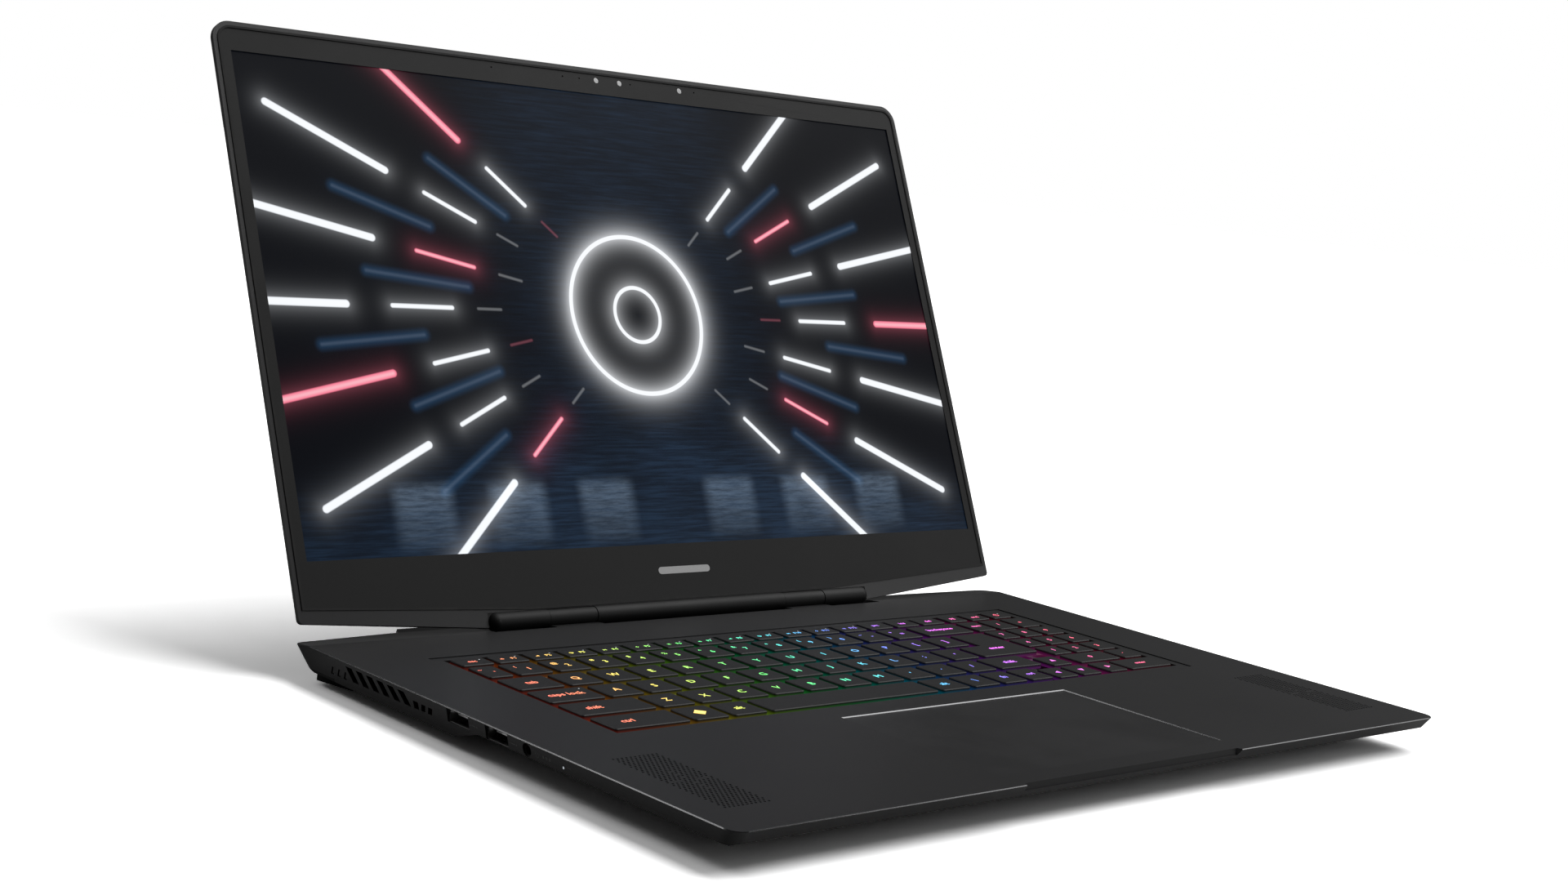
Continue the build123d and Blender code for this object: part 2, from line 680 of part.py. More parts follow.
def panel():
    x0, u0, x1, u1 = SCREEN
    glass = block(x0 - 2, x1 + 2, u0 - 2.5, u1 + 1.5, -0.85, PANEL_FACE_W)
    back = block(x0 + 6, x1 - 6, u0 - 6, u1 - 4, BACK_W + 1.3, -0.85)
    return glass + back


def webcam_board():
    return block(-64, 64, 247.8, 253.4, -0.8, 0.2)


def display_cable():
    """Bundle along the centre barrel."""
    return rod(1.6, -48, 48, 0, 0)


# --- Inside the base ---

def mainboard():
    board = base_block(-84, 84, 128, 232, -10.0, -8.8)
    board = board + base_block(-170, -84, 102, 158, -10.0, -8.8)
    return board + base_block(84, 170, 102, 158, -10.0, -8.8)


def heat_spreader():
    return base_block(-34, 8, 168, 206, -8.8, -7.4) + base_block(20, 56, 168, 204, -8.8, -7.4)


def heat_pipes():
    """Flattened pipes from the processors to both fin stacks."""
    return [base_block(-80, 80, 174 + 9 * i, 180 + 9 * i, -7.4, -5.6) for i in range(3)]


def fin_stacks():
    stack = base_block(-150, -86, 226, 240, -10.2, -6.2)
    for i in range(20):
        x = -148.5 + 3.1 * i
        stack = stack - base_block(x, x + 1.9, 225, 241, -9.8, -6.7)
    return both_sides(stack)


def fan_housing(side):
    """Flat blower case, open to the rear and on its underside."""
    x = side * FAN_X
    case = base_block(x - 32, x + 32, 160, 224, FAN_TOP - FAN_HEIGHT, FAN_TOP)
    case = case - Pos(x, fy(FAN_D), dz(FAN_TOP - FAN_HEIGHT / 2)) * Cylinder(FAN_R + 2, FAN_HEIGHT - 1.2)
    case = case - base_block(x - 29, x + 29, FAN_D, 230, FAN_TOP - FAN_HEIGHT + 0.6, FAN_TOP - 0.6)
    return case - Pos(x, fy(FAN_D), dz(FAN_TOP - FAN_HEIGHT)) * Cylinder(20, 3)


def fan_rotor(side):
    """Hub and curved-edge blades on a vertical axis."""
    x = side * FAN_X
    middle = Pos(x, fy(FAN_D), dz(FAN_TOP - FAN_HEIGHT / 2))
    rotor = Cylinder(12, 3.6)
    for i in range(BLADES):
        rotor = rotor + Rot(0, 0, 360 / BLADES * i) * Pos(18.5, 0, 0) * Rot(0, 0, 24) * Box(15, 0.8, 3.2)
    return middle * rotor


def battery_pack():
    """Cells side by side in a frame, under the palm rest."""
    frame = base_block(-140, 140, 34, 100, -10.2, -4.4)
    for i in range(4):
        x = -138 + 69.5 * i
        frame = frame - base_block(x, x + 67.5, 36, 98, -4.8, -4)
    return frame


def memory_modules():
    return [base_block(-60 + 36 * i, -28 + 36 * i, 130, 160, -8.8, -7.6) for i in range(2)]


def side_port(side, at, size, wall, lift, tongue):
    """Sheet-metal socket in a side wall: a box with an open mouth and a contact tongue."""
    back = SIDE_X - PORT_BACK
    w, h = size[0] / 2, size[1] / 2
    outer = base_block(back, SIDE_X - PORT_LIP, at - w, at + w, PORT_H - h, PORT_H + h)
    w, h = w - wall, h - wall
    mouth = base_block(back + 1, SIDE_X, at - w, at + w, PORT_H - h, PORT_H + h)
    reach, half_width, half_height = tongue
    blade = base_block(back + 0.5, SIDE_X - reach, at - half_width, at + half_width,
                       PORT_H + lift - half_height, PORT_H + lift + half_height)
    port = outer - mouth + blade
    return port if side > 0 else mirrored(port)


def usb_a_ports():
    return [side_port(-1, at, USB_A, 0.22, 0.8, (4.5, 5.2, 0.8)) for at in USB_A_AT]


def usb_c_ports():
    ports = [side_port(1, at, USB_C, 0.4, 0.0, (4.5, 3.0, 0.3)) for at in USB_C_AT]
    _, x, width, height = REAR_PORTS[3]
    return ports + [rear_port(x, width, height)]


def rear_port(x, width, height):
    """Socket in the rear block: shell with an open mouth and a tongue."""
    outer = rear_socket(x, width, height, 12)
    mouth = Pos(0, 1, 0) * rear_socket(x, width - 0.9, height - 0.9, 12)
    tongue = Pos(0, -3, 0) * rear_socket(x, width * 0.6, height * 0.22, 8.5)
    return outer - mouth + tongue


def audio_jack():
    """Round socket for a headset plug."""
    body = rod(JACK_BODY_R, -SIDE_X + JACK_LIP, -SIDE_X + 18.5, fy(JACK_AT), dz(PORT_H))
    return body - rod(JACK_R, -SIDE_X - 1, -SIDE_X + 17.4, fy(JACK_AT), dz(PORT_H))


def card_reader():
    d0, d1 = CARD_AT
    back = SIDE_X - PORT_BACK
    outer = base_block(back, SIDE_X - PORT_LIP, d0, d1, PORT_H - 1.3, PORT_H + 1.3)
    return outer - base_block(back + 1, SIDE_X, d0 + 0.6, d1 - 0.6, PORT_H - 1.0, PORT_H + 1.0)


def build_base():
    body = casing_body()
    shell = body - casing_cavity()
    write("top_case", top_case(shell))
    write("bottom_cover", bottom_cover(shell))
    write("bottom_screws", bottom_screws())
    write("rear_feet", rear_feet(shell))
    write("front_feet", front_feet())
    write("speaker_grilles", both_sides(speaker_grille()))
    write("speaker_modules", both_sides(speaker_box()))
    write("touchpad", touchpad())
    write("touchpad_bracket", touchpad_bracket())
    write("status_led", status_led())
    write("hinge_knuckles", both_sides(knuckle_cover()))
    write("hinge_base_brackets", both_sides(base_bracket()))


def build_keyboard():
    write("keyboard_plate", keyboard_plate())
    write("switch_membrane", switch_membrane())
    write("function_keys", function_keys())
    write("power_key", key_cap(*PAD_COLUMNS[2], F_ROW))
    write("number_keys", number_keys())
    write("backspace_key", key_cap(81.0, MAIN_RIGHT, NUMBER_ROW))
    write("tab_key", key_cap(KEY_LEFT, -137.8, TOP_ROW))
    write("top_letter_keys", key_run(-135.2, 12, TOP_ROW))
    write("caps_lock_key", key_cap(KEY_LEFT, -133.2, HOME_ROW))
    write("home_letter_keys", key_run(-130.6, 11, HOME_ROW))
    write("enter_key", enter_key())
    write("left_shift_key", key_cap(KEY_LEFT, -124.0, LOW_ROW))
    write("low_letter_keys", key_run(-121.3, 10, LOW_ROW))
    write("right_shift_key", key_cap(66.4, 92.4, LOW_ROW))
    write("modifier_keys", modifier_keys())
    write("space_bar", key_cap(-83.3, 7.3, SPACE_ROW))
    write("arrow_keys", arrow_keys())
    write("keypad_keys", keypad_keys())


def build_internals():
    write("mainboard", mainboard())
    write("heat_spreader", heat_spreader())
    write("heat_pipes", heat_pipes())
    write("fin_stacks", fin_stacks())
    write("fan_housing_left", fan_housing(-1))
    write("fan_housing_right", fan_housing(1))
    write("fan_rotor_left", fan_rotor(-1))
    write("fan_rotor_right", fan_rotor(1))
    write("battery_pack", battery_pack())
    write("memory_modules", memory_modules())
    write("ssd_module", base_block(14, 82, 132, 154, -8.8, -7.0))
    write("wireless_card", base_block(104, 134, 108, 130, -8.8, -7.4))
    write("usb_a_ports", usb_a_ports())
    write("usb_c_ports", usb_c_ports())
    write("audio_jack", audio_jack())
    write("card_reader", card_reader())
    for name, x, width, height in REAR_PORTS[:3]:
        write(name + "_port", rear_port(x, width, height))


def build_lid():
    pieces = {
        "lid_back_cover": back_cover(), "screen_gasket": gasket(), "screen_bezel": bezel(),
        "lcd_panel": panel(), "webcam_board": webcam_board(), "camera_lenses": lenses(),
        "display_cable": display_cable(), "hinge_center_cover": center_cover(),
        "hinge_caps": both_sides(hinge_cap()), "hinge_lid_brackets": both_sides(lid_bracket()),
    }
    for name, parts in pieces.items():
        parts = parts if isinstance(parts, list) else [parts]
        write(name, [LID_PLACE * piece for piece in parts])
    write("hinge_shafts", both_sides(hinge_shaft()))


build_base()
build_keyboard()
build_internals()
build_lid()
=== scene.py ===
import json
import math

import bmesh
import bpy
from mathutils import Matrix, Vector


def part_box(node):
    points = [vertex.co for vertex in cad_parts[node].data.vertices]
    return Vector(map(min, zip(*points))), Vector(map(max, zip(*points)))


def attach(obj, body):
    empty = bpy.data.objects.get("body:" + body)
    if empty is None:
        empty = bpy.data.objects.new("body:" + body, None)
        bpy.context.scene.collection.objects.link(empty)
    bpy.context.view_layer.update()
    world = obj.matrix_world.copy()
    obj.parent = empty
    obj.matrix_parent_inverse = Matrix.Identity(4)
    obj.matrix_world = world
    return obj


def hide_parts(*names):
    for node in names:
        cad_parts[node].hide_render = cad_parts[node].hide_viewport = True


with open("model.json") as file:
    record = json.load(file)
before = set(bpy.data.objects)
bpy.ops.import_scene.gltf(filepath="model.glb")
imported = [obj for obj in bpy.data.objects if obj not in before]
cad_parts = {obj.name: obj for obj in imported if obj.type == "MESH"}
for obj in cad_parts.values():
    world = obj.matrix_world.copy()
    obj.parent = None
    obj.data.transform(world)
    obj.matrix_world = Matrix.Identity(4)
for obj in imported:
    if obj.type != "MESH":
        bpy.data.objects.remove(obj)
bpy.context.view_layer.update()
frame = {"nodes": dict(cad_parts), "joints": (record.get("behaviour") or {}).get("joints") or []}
NODES = frame["nodes"]
JOINTS = {joint["name"]: joint for joint in frame["joints"]}

MM = 0.001

# --- Places, all from the frame ---
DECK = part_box("top_case")[1].z
ARROW_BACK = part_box("arrow_keys")[1].y
GRILLE_LO, GRILLE_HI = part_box("speaker_grilles")
CASE_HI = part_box("top_case")[1]
HINGE = Vector(JOINTS["lid_hinge"]["pos_m"])
OPENING = math.radians(-JOINTS["lid_hinge"]["range_deg"][0])
LID_UP = Vector((0, -math.cos(OPENING), math.sin(OPENING)))
LID_OUT = Vector((0, -math.sin(OPENING), -math.cos(OPENING)))


def lid_point(x, up, out):
    """Point of the lid, from x, the distance up from the hinge axis and the distance out of the screen."""
    return HINGE + Vector((x, 0, 0)) + LID_UP * up + LID_OUT * out


def lid_span(node, axis):
    """Lowest and highest place of a lid node along one lid axis, measured from the hinge axis."""
    reach = [(v.co - HINGE).dot(axis) for v in NODES[node].data.vertices]
    return min(reach), max(reach)


# --- Node trees ---

class Tree:
    """Short calls for building a material's nodes."""

    def __init__(self, tree):
        self.tree = tree
        self.tree.nodes.clear()

    def add(self, kind, inputs=None, **settings):
        node = self.tree.nodes.new(kind)
        for key, value in settings.items():
            setattr(node, key, value)
        for key, value in (inputs or {}).items():
            self.feed(node.inputs[key], value)
        return node

    def feed(self, socket, value):
        if isinstance(value, bpy.types.NodeSocket):
            self.tree.links.new(value, socket)
        else:
            socket.default_value = value

    def math(self, operation, a, b=0.0, clamp=False):
        return self.add("ShaderNodeMath", {0: a, 1: b}, operation=operation, use_clamp=clamp).outputs[0]

    def vector(self, operation, a, b=(0, 0, 0), output=0):
        node = self.add("ShaderNodeVectorMath", {0: a, 1: b}, operation=operation)
        return node.outputs[output]

    def dot(self, a, b):
        return self.vector("DOT_PRODUCT", a, b, "Value")

    def scale(self, a, factor):
        node = self.add("ShaderNodeVectorMath", {0: a, "Scale": factor}, operation="SCALE")
        return node.outputs[0]

    def split(self, vector):
        return self.add("ShaderNodeSeparateXYZ", {0: vector}).outputs

    def join(self, x, y, z=0.0):
        return self.add("ShaderNodeCombineXYZ", {0: x, 1: y, 2: z}).outputs[0]

    def fade(self, value, start, end, low=0.0, high=1.0):
        """Smooth step of value from low at start to high at end."""
        inputs = {"Value": value, "From Min": start, "From Max": end, "To Min": low, "To Max": high}
        return self.add("ShaderNodeMapRange", inputs, interpolation_type="SMOOTHSTEP").outputs[0]

    def mix(self, factor, a, b):
        inputs = {"Factor": factor, "A": a, "B": b}
        node = self.add("ShaderNodeMix", data_type="RGBA")
        for name, value in inputs.items():
            sockets = [s for s in node.inputs if s.name == name and s.enabled]
            self.feed(sockets[0], value)
        return [s for s in node.outputs if s.enabled][0]

    def noise(self, place, scale, detail=3.0, roughness=0.5):
        inputs = {"Vector": place, "Scale": scale, "Detail": detail, "Roughness": roughness}
        return self.add("ShaderNodeTexNoise", inputs).outputs["Fac"]

    def ramp(self, value, stops):
        node = self.add("ShaderNodeValToRGB", {0: value})
        while len(node.color_ramp.elements) < len(stops):
            node.color_ramp.elements.new(0.5)
        for element, (place, colour) in zip(node.color_ramp.elements, stops):
            element.position = place
            element.color = rgba(colour)
        return node.outputs[0]

    def bump(self, height, distance, strength=1.0):
        inputs = {"Height": height, "Distance": distance, "Strength": strength}
        return self.add("ShaderNodeBump", inputs).outputs[0]


def rgba(colour):
    return (*colour, 1.0)


class Material(Tree):
    """A material whose patterns lie in the object's own coordinates, in metres."""

    def __init__(self, name):
        self.material = bpy.data.materials.new(name)
        self.material.use_nodes = True
        super().__init__(self.material.node_tree)
        self.place = self.add("ShaderNodeTexCoord").outputs["Object"]

    def surface(self, colour, roughness, normal=None, **extra):
        inputs = {"Base Color": colour, "Roughness": roughness}
        if normal is not None:
            inputs["Normal"] = normal
        inputs.update({key.replace("_", " "): value for key, value in extra.items()})
        shader = self.add("ShaderNodeBsdfPrincipled", inputs)
        self.add("ShaderNodeOutputMaterial", {"Surface": shader.outputs[0]})
        return self.material


def soft_black(name, grey, roughness, specular):
    """Dark matte plastic: a fine grain in the bump, and slow changes of tone and roughness."""
    m = Material(name)
    cloud = m.noise(m.place, 9.0, 4.0, 0.6)
    fine = m.noise(m.place, 6600.0, 2.0, 0.6)
    tone = m.mix(m.fade(fine, 0.3, 0.7), rgba([grey * 0.88] * 3), rgba([grey * 1.12] * 3))
    rough = m.math("ADD", m.fade(cloud, 0.3, 0.7, roughness - 0.04, roughness + 0.04),
                   m.fade(fine, 0.3, 0.7, -0.02, 0.02))
    return m.surface(tone, rough, m.bump(fine, 0.02 * MM), Specular_IOR_Level=specular)


RAINBOW_HALF = 160 * MM
RAINBOW = [
    (0.0, (1.0, 0.07, 0.03)), (0.07, (1.0, 0.2, 0.03)), (0.16, (1.0, 0.72, 0.04)),
    (0.26, (0.42, 0.95, 0.04)), (0.36, (0.03, 0.9, 0.12)), (0.46, (0.0, 0.82, 0.5)),
    (0.53, (0.0, 0.62, 0.9)), (0.62, (0.06, 0.2, 1.0)), (0.7, (0.3, 0.08, 1.0)),
    (0.79, (0.85, 0.06, 0.95)), (0.89, (1.0, 0.05, 0.35)), (1.0, (1.0, 0.03, 0.06)),
]


def rainbow(m):
    """Colour of the keyboard's light at this place: red at both ends, green and blue in the middle."""
    x = m.split(m.place)[0]
    share = m.add("ShaderNodeMapRange", {"Value": x, "From Min": -RAINBOW_HALF, "From Max": RAINBOW_HALF})
    return m.ramp(share.outputs[0], RAINBOW)


CUT_DEPTH = 0.5 * MM         # the chamfer round the deck reaches this far down
CUT_WIDTH = 1.5 * MM         # and this far in from the side walls
RIM_DEPTH = 3.3 * MM         # at the side walls it runs down further
CUT_TONE = (0.1, 0.1, 0.102)
SOFT_STEP = 0.1 * MM         # half the width of a soft border in a pattern


def casing_metal(name, polished_edge):
    """Blasted, dark anodised metal. The narrow chamfers round the deck and touchpad are cut bright."""
    m = Material(name)
    fine = m.noise(m.place, 9000.0, 2.0, 0.7)
    cloud = m.noise(m.place, 7.0, 3.0, 0.6)
    tone = m.mix(m.fade(fine, 0.25, 0.75), rgba((0.009, 0.009, 0.0094)), rgba((0.0145, 0.0145, 0.0151)))
    rough = m.fade(cloud, 0.3, 0.7, 0.38, 0.43)
    metal = 0.0
    if polished_edge:
        x, _, height = m.split(m.place)
        facing = m.split(m.add("ShaderNodeNewGeometry").outputs["True Normal"])[2]
        tilted = m.math("MULTIPLY", m.fade(facing, 0.3, 0.4), m.fade(facing, 0.97, 0.9))
        level = m.fade(height, DECK - CUT_DEPTH - SOFT_STEP / 2, DECK - CUT_DEPTH + SOFT_STEP / 2)
        side = CASE_HI.x - CUT_WIDTH
        rim = m.fade(m.math("ABSOLUTE", x), side - SOFT_STEP, side + SOFT_STEP)
        low = DECK - RIM_DEPTH
        rim = m.math("MULTIPLY", rim, m.fade(height, low - SOFT_STEP, low + SOFT_STEP))
        edge = m.math("MULTIPLY", tilted, m.math("MAXIMUM", level, rim))
        tone = m.mix(edge, tone, rgba(CUT_TONE))
        rough = m.math("MULTIPLY", rough, m.fade(edge, 0.0, 1.0, 1.0, 0.5))
        metal = edge
    return m.surface(tone, rough, m.bump(fine, 0.02 * MM, 0.5), Metallic=metal, Specular_IOR_Level=0.28)


def key_plastic():
    """Matte cap plastic. Below the top face its sides carry a painted glow: emission that stands in for the
    light under the keys falling on them.
    """
    m = Material("keycap_plastic")
    fine = m.noise(m.place, 6000.0, 2.0, 0.6)
    tone = m.mix(m.fade(fine, 0.3, 0.7), rgba((0.008, 0.008, 0.0084)), rgba((0.013, 0.013, 0.0137)))
    height = m.split(m.place)[2]
    # painted glow: the cap sides below the top emit the rainbow colour in place of the key light falling on
    # them
    painted_skirt_glow = m.fade(height, DECK - 0.2 * MM, DECK - 1.7 * MM, 0.0, 0.07)
    return m.surface(tone, 0.52, m.bump(fine, 0.02 * MM, 0.5), Emission_Color=rainbow(m),
                     Emission_Strength=painted_skirt_glow, Specular_IOR_Level=0.22)


ARROW_GAP_LEFT = (77 * MM, 80 * MM)        # soft borders of the bare patch round the arrow keys
ARROW_GAP_RIGHT = (114.5 * MM, 112 * MM)


def membrane_glow():
    """Light spread under the keys; the bare patch round the arrow keys is blacked out."""
    m = Material("membrane_glow")
    spots = m.noise(m.place, 120.0, 2.0)
    x, y, _ = m.split(m.place)
    inside = m.math("MULTIPLY", m.fade(x, *ARROW_GAP_LEFT), m.fade(x, *ARROW_GAP_RIGHT))
    inside = m.math("MULTIPLY", inside, m.fade(y, ARROW_BACK + 2 * MM, ARROW_BACK))
    strength = m.math("MULTIPLY", m.fade(spots, 0.3, 0.7, 0.05, 0.12), m.math("SUBTRACT", 1.0, inside))
    return m.surface(rgba((0.008, 0.008, 0.008)), 0.7, Emission_Color=rainbow(m), Emission_Strength=strength)


def legend_ink():
    """Clear print that the keyboard's light shines through."""
    m = Material("legend_ink")
    uneven = m.noise(m.place, 700.0, 2.0)
    strength = m.fade(uneven, 0.3, 0.7, 1.5, 1.9)
    pale = m.mix(0.1, rainbow(m), rgba((1, 1, 1)))
    return m.surface(rgba((0.1, 0.1, 0.1)), 0.5, Emission_Color=pale, Emission_Strength=strength)


def pad_glass():
    m = Material("pad_glass_matte")
    fine = m.noise(m.place, 12000.0, 1.0)
    smear = m.noise(m.place, 24.0, 4.0, 0.6)
    tone = m.mix(m.fade(smear, 0.35, 0.65), rgba((0.011, 0.011, 0.0115)), rgba((0.014, 0.014, 0.0145)))
    return m.surface(tone, m.fade(smear, 0.3, 0.7, 0.37, 0.42), m.bump(fine, 0.01 * MM, 0.3),
                     Specular_IOR_Level=0.3)


STEEL_ROUGHNESS = 0.28


def brushed_steel(name, colour):
    """Metal with fine lines along x."""
    m = Material(name)
    lines = m.noise(m.vector("MULTIPLY", m.place, (300, 9000, 9000)), 1.0, 2.0)
    dirt = m.noise(m.place, 90.0, 4.0)
    tone = m.mix(m.fade(lines, 0.3, 0.7), rgba([c * 0.82 for c in colour]), rgba(colour))
    rough = m.fade(dirt, 0.3, 0.7, STEEL_ROUGHNESS - 0.05, STEEL_ROUGHNESS + 0.12)
    return m.surface(tone, rough, m.bump(lines, 0.01 * MM, 0.4), Metallic=1.0)


def rubber():
    m = Material("soft_rubber_black")
    fine = m.noise(m.place, 2500.0, 3.0, 0.7)
    dust = m.noise(m.place, 60.0, 5.0, 0.7)
    tone = m.mix(m.fade(dust, 0.45, 0.75), rgba((0.006, 0.006, 0.006)), rgba((0.014, 0.014, 0.013)))
    return m.surface(tone, 0.75, m.bump(fine, 0.05 * MM), Specular_IOR_Level=0.3)


def lens_glass():
    m = Material("lens_glass_dark")
    ring = m.noise(m.place, 3000.0, 1.0)
    tone = m.mix(m.fade(ring, 0.4, 0.6), rgba((0.004, 0.004, 0.006)), rgba((0.012, 0.01, 0.02)))
    return m.surface(tone, 0.08, Coat_Weight=1.0, Coat_Roughness=0.03)


def circuit_board():
    """Solder mask with copper tracks, pads and speckled parts showing through."""
    m = Material("circuit_board_dark")
    cells = m.add("ShaderNodeTexVoronoi", {"Vector": m.place, "Scale": 420.0}, distance="CHEBYCHEV")
    tracks = m.add("ShaderNodeTexBrick", {"Vector": m.place, "Scale": 300.0, "Mortar Size": 0.06,
                                          "Color1": rgba((0.006, 0.02, 0.012)),
                                          "Color2": rgba((0.008, 0.03, 0.016)),
                                          "Mortar": rgba((0.05, 0.09, 0.03))})
    pads = m.fade(cells.outputs["Distance"], 0.12, 0.1)
    tone = m.mix(pads, tracks.outputs[0], rgba((0.55, 0.42, 0.2)))
    return m.surface(tone, m.fade(pads, 0, 1, 0.35, 0.25), m.bump(pads, 0.05 * MM),
                     Metallic=m.math("MULTIPLY", pads, 0.9))


def copper():
    m = Material("copper_worn")
    stain = m.noise(m.place, 130.0, 5.0, 0.65)
    tone = m.mix(m.fade(stain, 0.35, 0.7), rgba((0.75, 0.32, 0.17)), rgba((0.42, 0.19, 0.1)))
    return m.surface(tone, m.fade(stain, 0.3, 0.7, 0.22, 0.42), m.bump(stain, 0.02 * MM), Metallic=1.0)


def battery_wrap():
    m = Material("battery_wrap_film")
    crease = m.noise(m.vector("MULTIPLY", m.place, (40, 90, 90)), 1.0, 5.0, 0.6)
    tone = m.mix(m.fade(crease, 0.35, 0.65), rgba((0.01, 0.01, 0.012)), rgba((0.02, 0.02, 0.024)))
    return m.surface(tone, m.fade(crease, 0.3, 0.7, 0.25, 0.4), m.bump(crease, 0.2 * MM))


def cable_sleeve():
    """Braided sleeve."""
    m = Material("cable_sleeve_braid")
    across = m.add("ShaderNodeTexWave", {"Vector": m.place, "Scale": 1300.0}, bands_direction="DIAGONAL")
    tone = m.mix(across.outputs["Fac"], rgba((0.008, 0.008, 0.008)), rgba((0.03, 0.03, 0.03)))
    return m.surface(tone, 0.6, m.bump(across.outputs["Fac"], 0.1 * MM))


def light_guide(name, power):
    m = Material(name)
    glow = m.noise(m.place, 2000.0, 1.0)
    return m.surface(rgba((0.5, 0.5, 0.5)), 0.3, Emission_Color=rgba((0.85, 0.92, 1.0)),
                     Emission_Strength=m.fade(glow, 0.2, 0.8, 0.8 * power, 1.1 * power))


# --- Screen picture: rays of light bars round two rings, by formula. Lengths are in millimetres ---

SCREEN_LIGHT = 1.0
SCREEN_MID = 136.9 * MM      # middle of the picture above the hinge axis
WHITE_BAR = (0.93, 0.96, 1.0)
PINK_BAR = (0.95, 0.2, 0.3)
BLUE_HAZE = (0.012, 0.045, 0.1)
DIM = 0.12                   # strength of the innermost bars
RAYS = 7
RAY_START = 126.0            # degrees, from the right, of the first ray of the left half
RAY_STEP = 18.0
RAY_STRETCH = 1.5
RAY_SHIFT = 7.0              # every second ray starts this much further out
BAR_RINGS = ((44, 52, 0.6), (61, 81, 1.0), (96, 140, 1.7))   # inner end, outer end, radius
BAR_EDGE = 0.45              # softness of a bar's border
BAR_HALO = 0.13
DIM_HALO = 0.02
HALO_FALL = 0.72             # what is left of a halo one millimetre further out
HAZE_START = 62
HAZE_SHIFT = 18
HAZE_LENGTH = 34
HAZE_RADIUS = 1.4
HAZE_HALO = 0.03
PATCH_PLACES = (-36, -84, -132)
PATCH_UP = -91
PATCH_HALF = (14, 13)
PATCH_EDGE = 4.0
PATCH_COLOUR = (0.08, 0.11, 0.15)
RINGS = ((37.5, 1.15, 0.5), (13.0, 1.0, 0.3))    # radius, half the line's width, halo
RING_COLOUR = (0.95, 0.97, 1.0)
RING_EDGE = 0.35
RING_FALL = 0.75


def streak_group():
    """Adds one light bar, from A to B, to a colour. Lengths are in millimetres on the screen."""
    group = bpy.data.node_groups.new("light_bar", "ShaderNodeTree")
    for name, kind in (("Point", "Vector"), ("A", "Vector"), ("B", "Vector"), ("Radius", "Float"),
                       ("Soft", "Float"), ("Halo", "Float"), ("Colour", "Color"), ("Sum", "Color")):
        group.interface.new_socket(name, in_out="INPUT", socket_type="NodeSocket" + kind)
    group.interface.new_socket("Sum", in_out="OUTPUT", socket_type="NodeSocketColor")
    t = Tree(group)
    given = t.add("NodeGroupInput").outputs
    from_a = t.vector("SUBTRACT", given["Point"], given["A"])
    along = t.vector("SUBTRACT", given["B"], given["A"])
    share = t.math("DIVIDE", t.dot(from_a, along), t.dot(along, along), clamp=True)
    gap = t.vector("SUBTRACT", from_a, t.scale(along, share))
    distance = t.vector("LENGTH", gap, output="Value")
    edge = t.math("SUBTRACT", distance, given["Radius"])
    core = t.fade(edge, given["Soft"], t.math("MULTIPLY", given["Soft"], -1.0))
    fall = t.math("POWER", HALO_FALL, t.math("MAXIMUM", edge, 0.0))
    halo = t.math("MULTIPLY", fall, given["Halo"])
    light = t.scale(given["Colour"], t.math("MAXIMUM", core, halo))
    hot = t.fade(distance, given["Radius"], 0.0, 0.0, 0.45)
    hot = t.math("MULTIPLY", hot, t.fade(given["Halo"], 0.0, 0.2))
    light = t.mix(hot, light, rgba((1, 1, 1)))
    t.add("NodeGroupOutput", {"Sum": t.vector("ADD", given["Sum"], light)})
    return group


def on_ray(degrees, reach):
    """Point of the screen on a ray from its middle; the rays are stretched to the screen's shape."""
    turn = math.radians(degrees)
    return Vector((RAY_STRETCH * reach * math.cos(turn), reach * math.sin(turn), 0))


def bar_rows():
    """Light bars of the left half: (outer end, inner end, radius, colour left, colour right)."""
    rows = []
    for k in range(RAYS):
        degrees = RAY_START + RAY_STEP * k
        shift = RAY_SHIFT * (k % 2)
        for ring, (near, far, radius) in enumerate(BAR_RINGS):
            colours = [PINK_BAR if (k + 2 * ring + side) % 4 == 0 else WHITE_BAR for side in (0, 1)]
            if ring == 0:
                colours = [tuple(c * DIM for c in colour) for colour in colours]
            rows.append((on_ray(degrees, far + shift), on_ray(degrees, near + shift), radius, *colours))
    return rows


def haze_rows():
    """Blurred blue bars between the sharp ones: (outer end, inner end)."""
    rows = []
    for k in range(RAYS - 1):
        degrees = RAY_START + RAY_STEP * (k + 0.5)
        near = HAZE_START + HAZE_SHIFT * (k % 2)
        rows.append((on_ray(degrees, near + HAZE_LENGTH), on_ray(degrees, near)))
    return rows


def backdrop(m, point, side_gap):
    """Dark picture ground, bluer at the bottom and in the middle, with fine level brush lines."""
    y = m.split(point)[1]
    brush = m.noise(m.vector("MULTIPLY", point, (0.035, 0.62, 0)), 1.0, 5.0, 0.65)
    broad = m.noise(m.vector("MULTIPLY", point, (0.02, 0.03, 0)), 1.0, 3.0)
    column = m.fade(side_gap, 105.0, 25.0)
    floor = m.fade(m.math("ADD", y, m.math("MULTIPLY", side_gap, 0.3)), -10.0, -75.0)
    lit = m.math("MAXIMUM", m.math("MULTIPLY", column, 0.5), floor)
    lines = m.fade(brush, 0.35, 0.75)
    shade = m.math("MULTIPLY", lit, m.math("ADD", 0.45, lines))
    shade = m.math("MULTIPLY", shade, m.fade(broad, 0.2, 0.8, 0.6, 1.2))
    return m.mix(shade, rgba((0.0012, 0.0018, 0.0035)), rgba((0.011, 0.024, 0.048)))


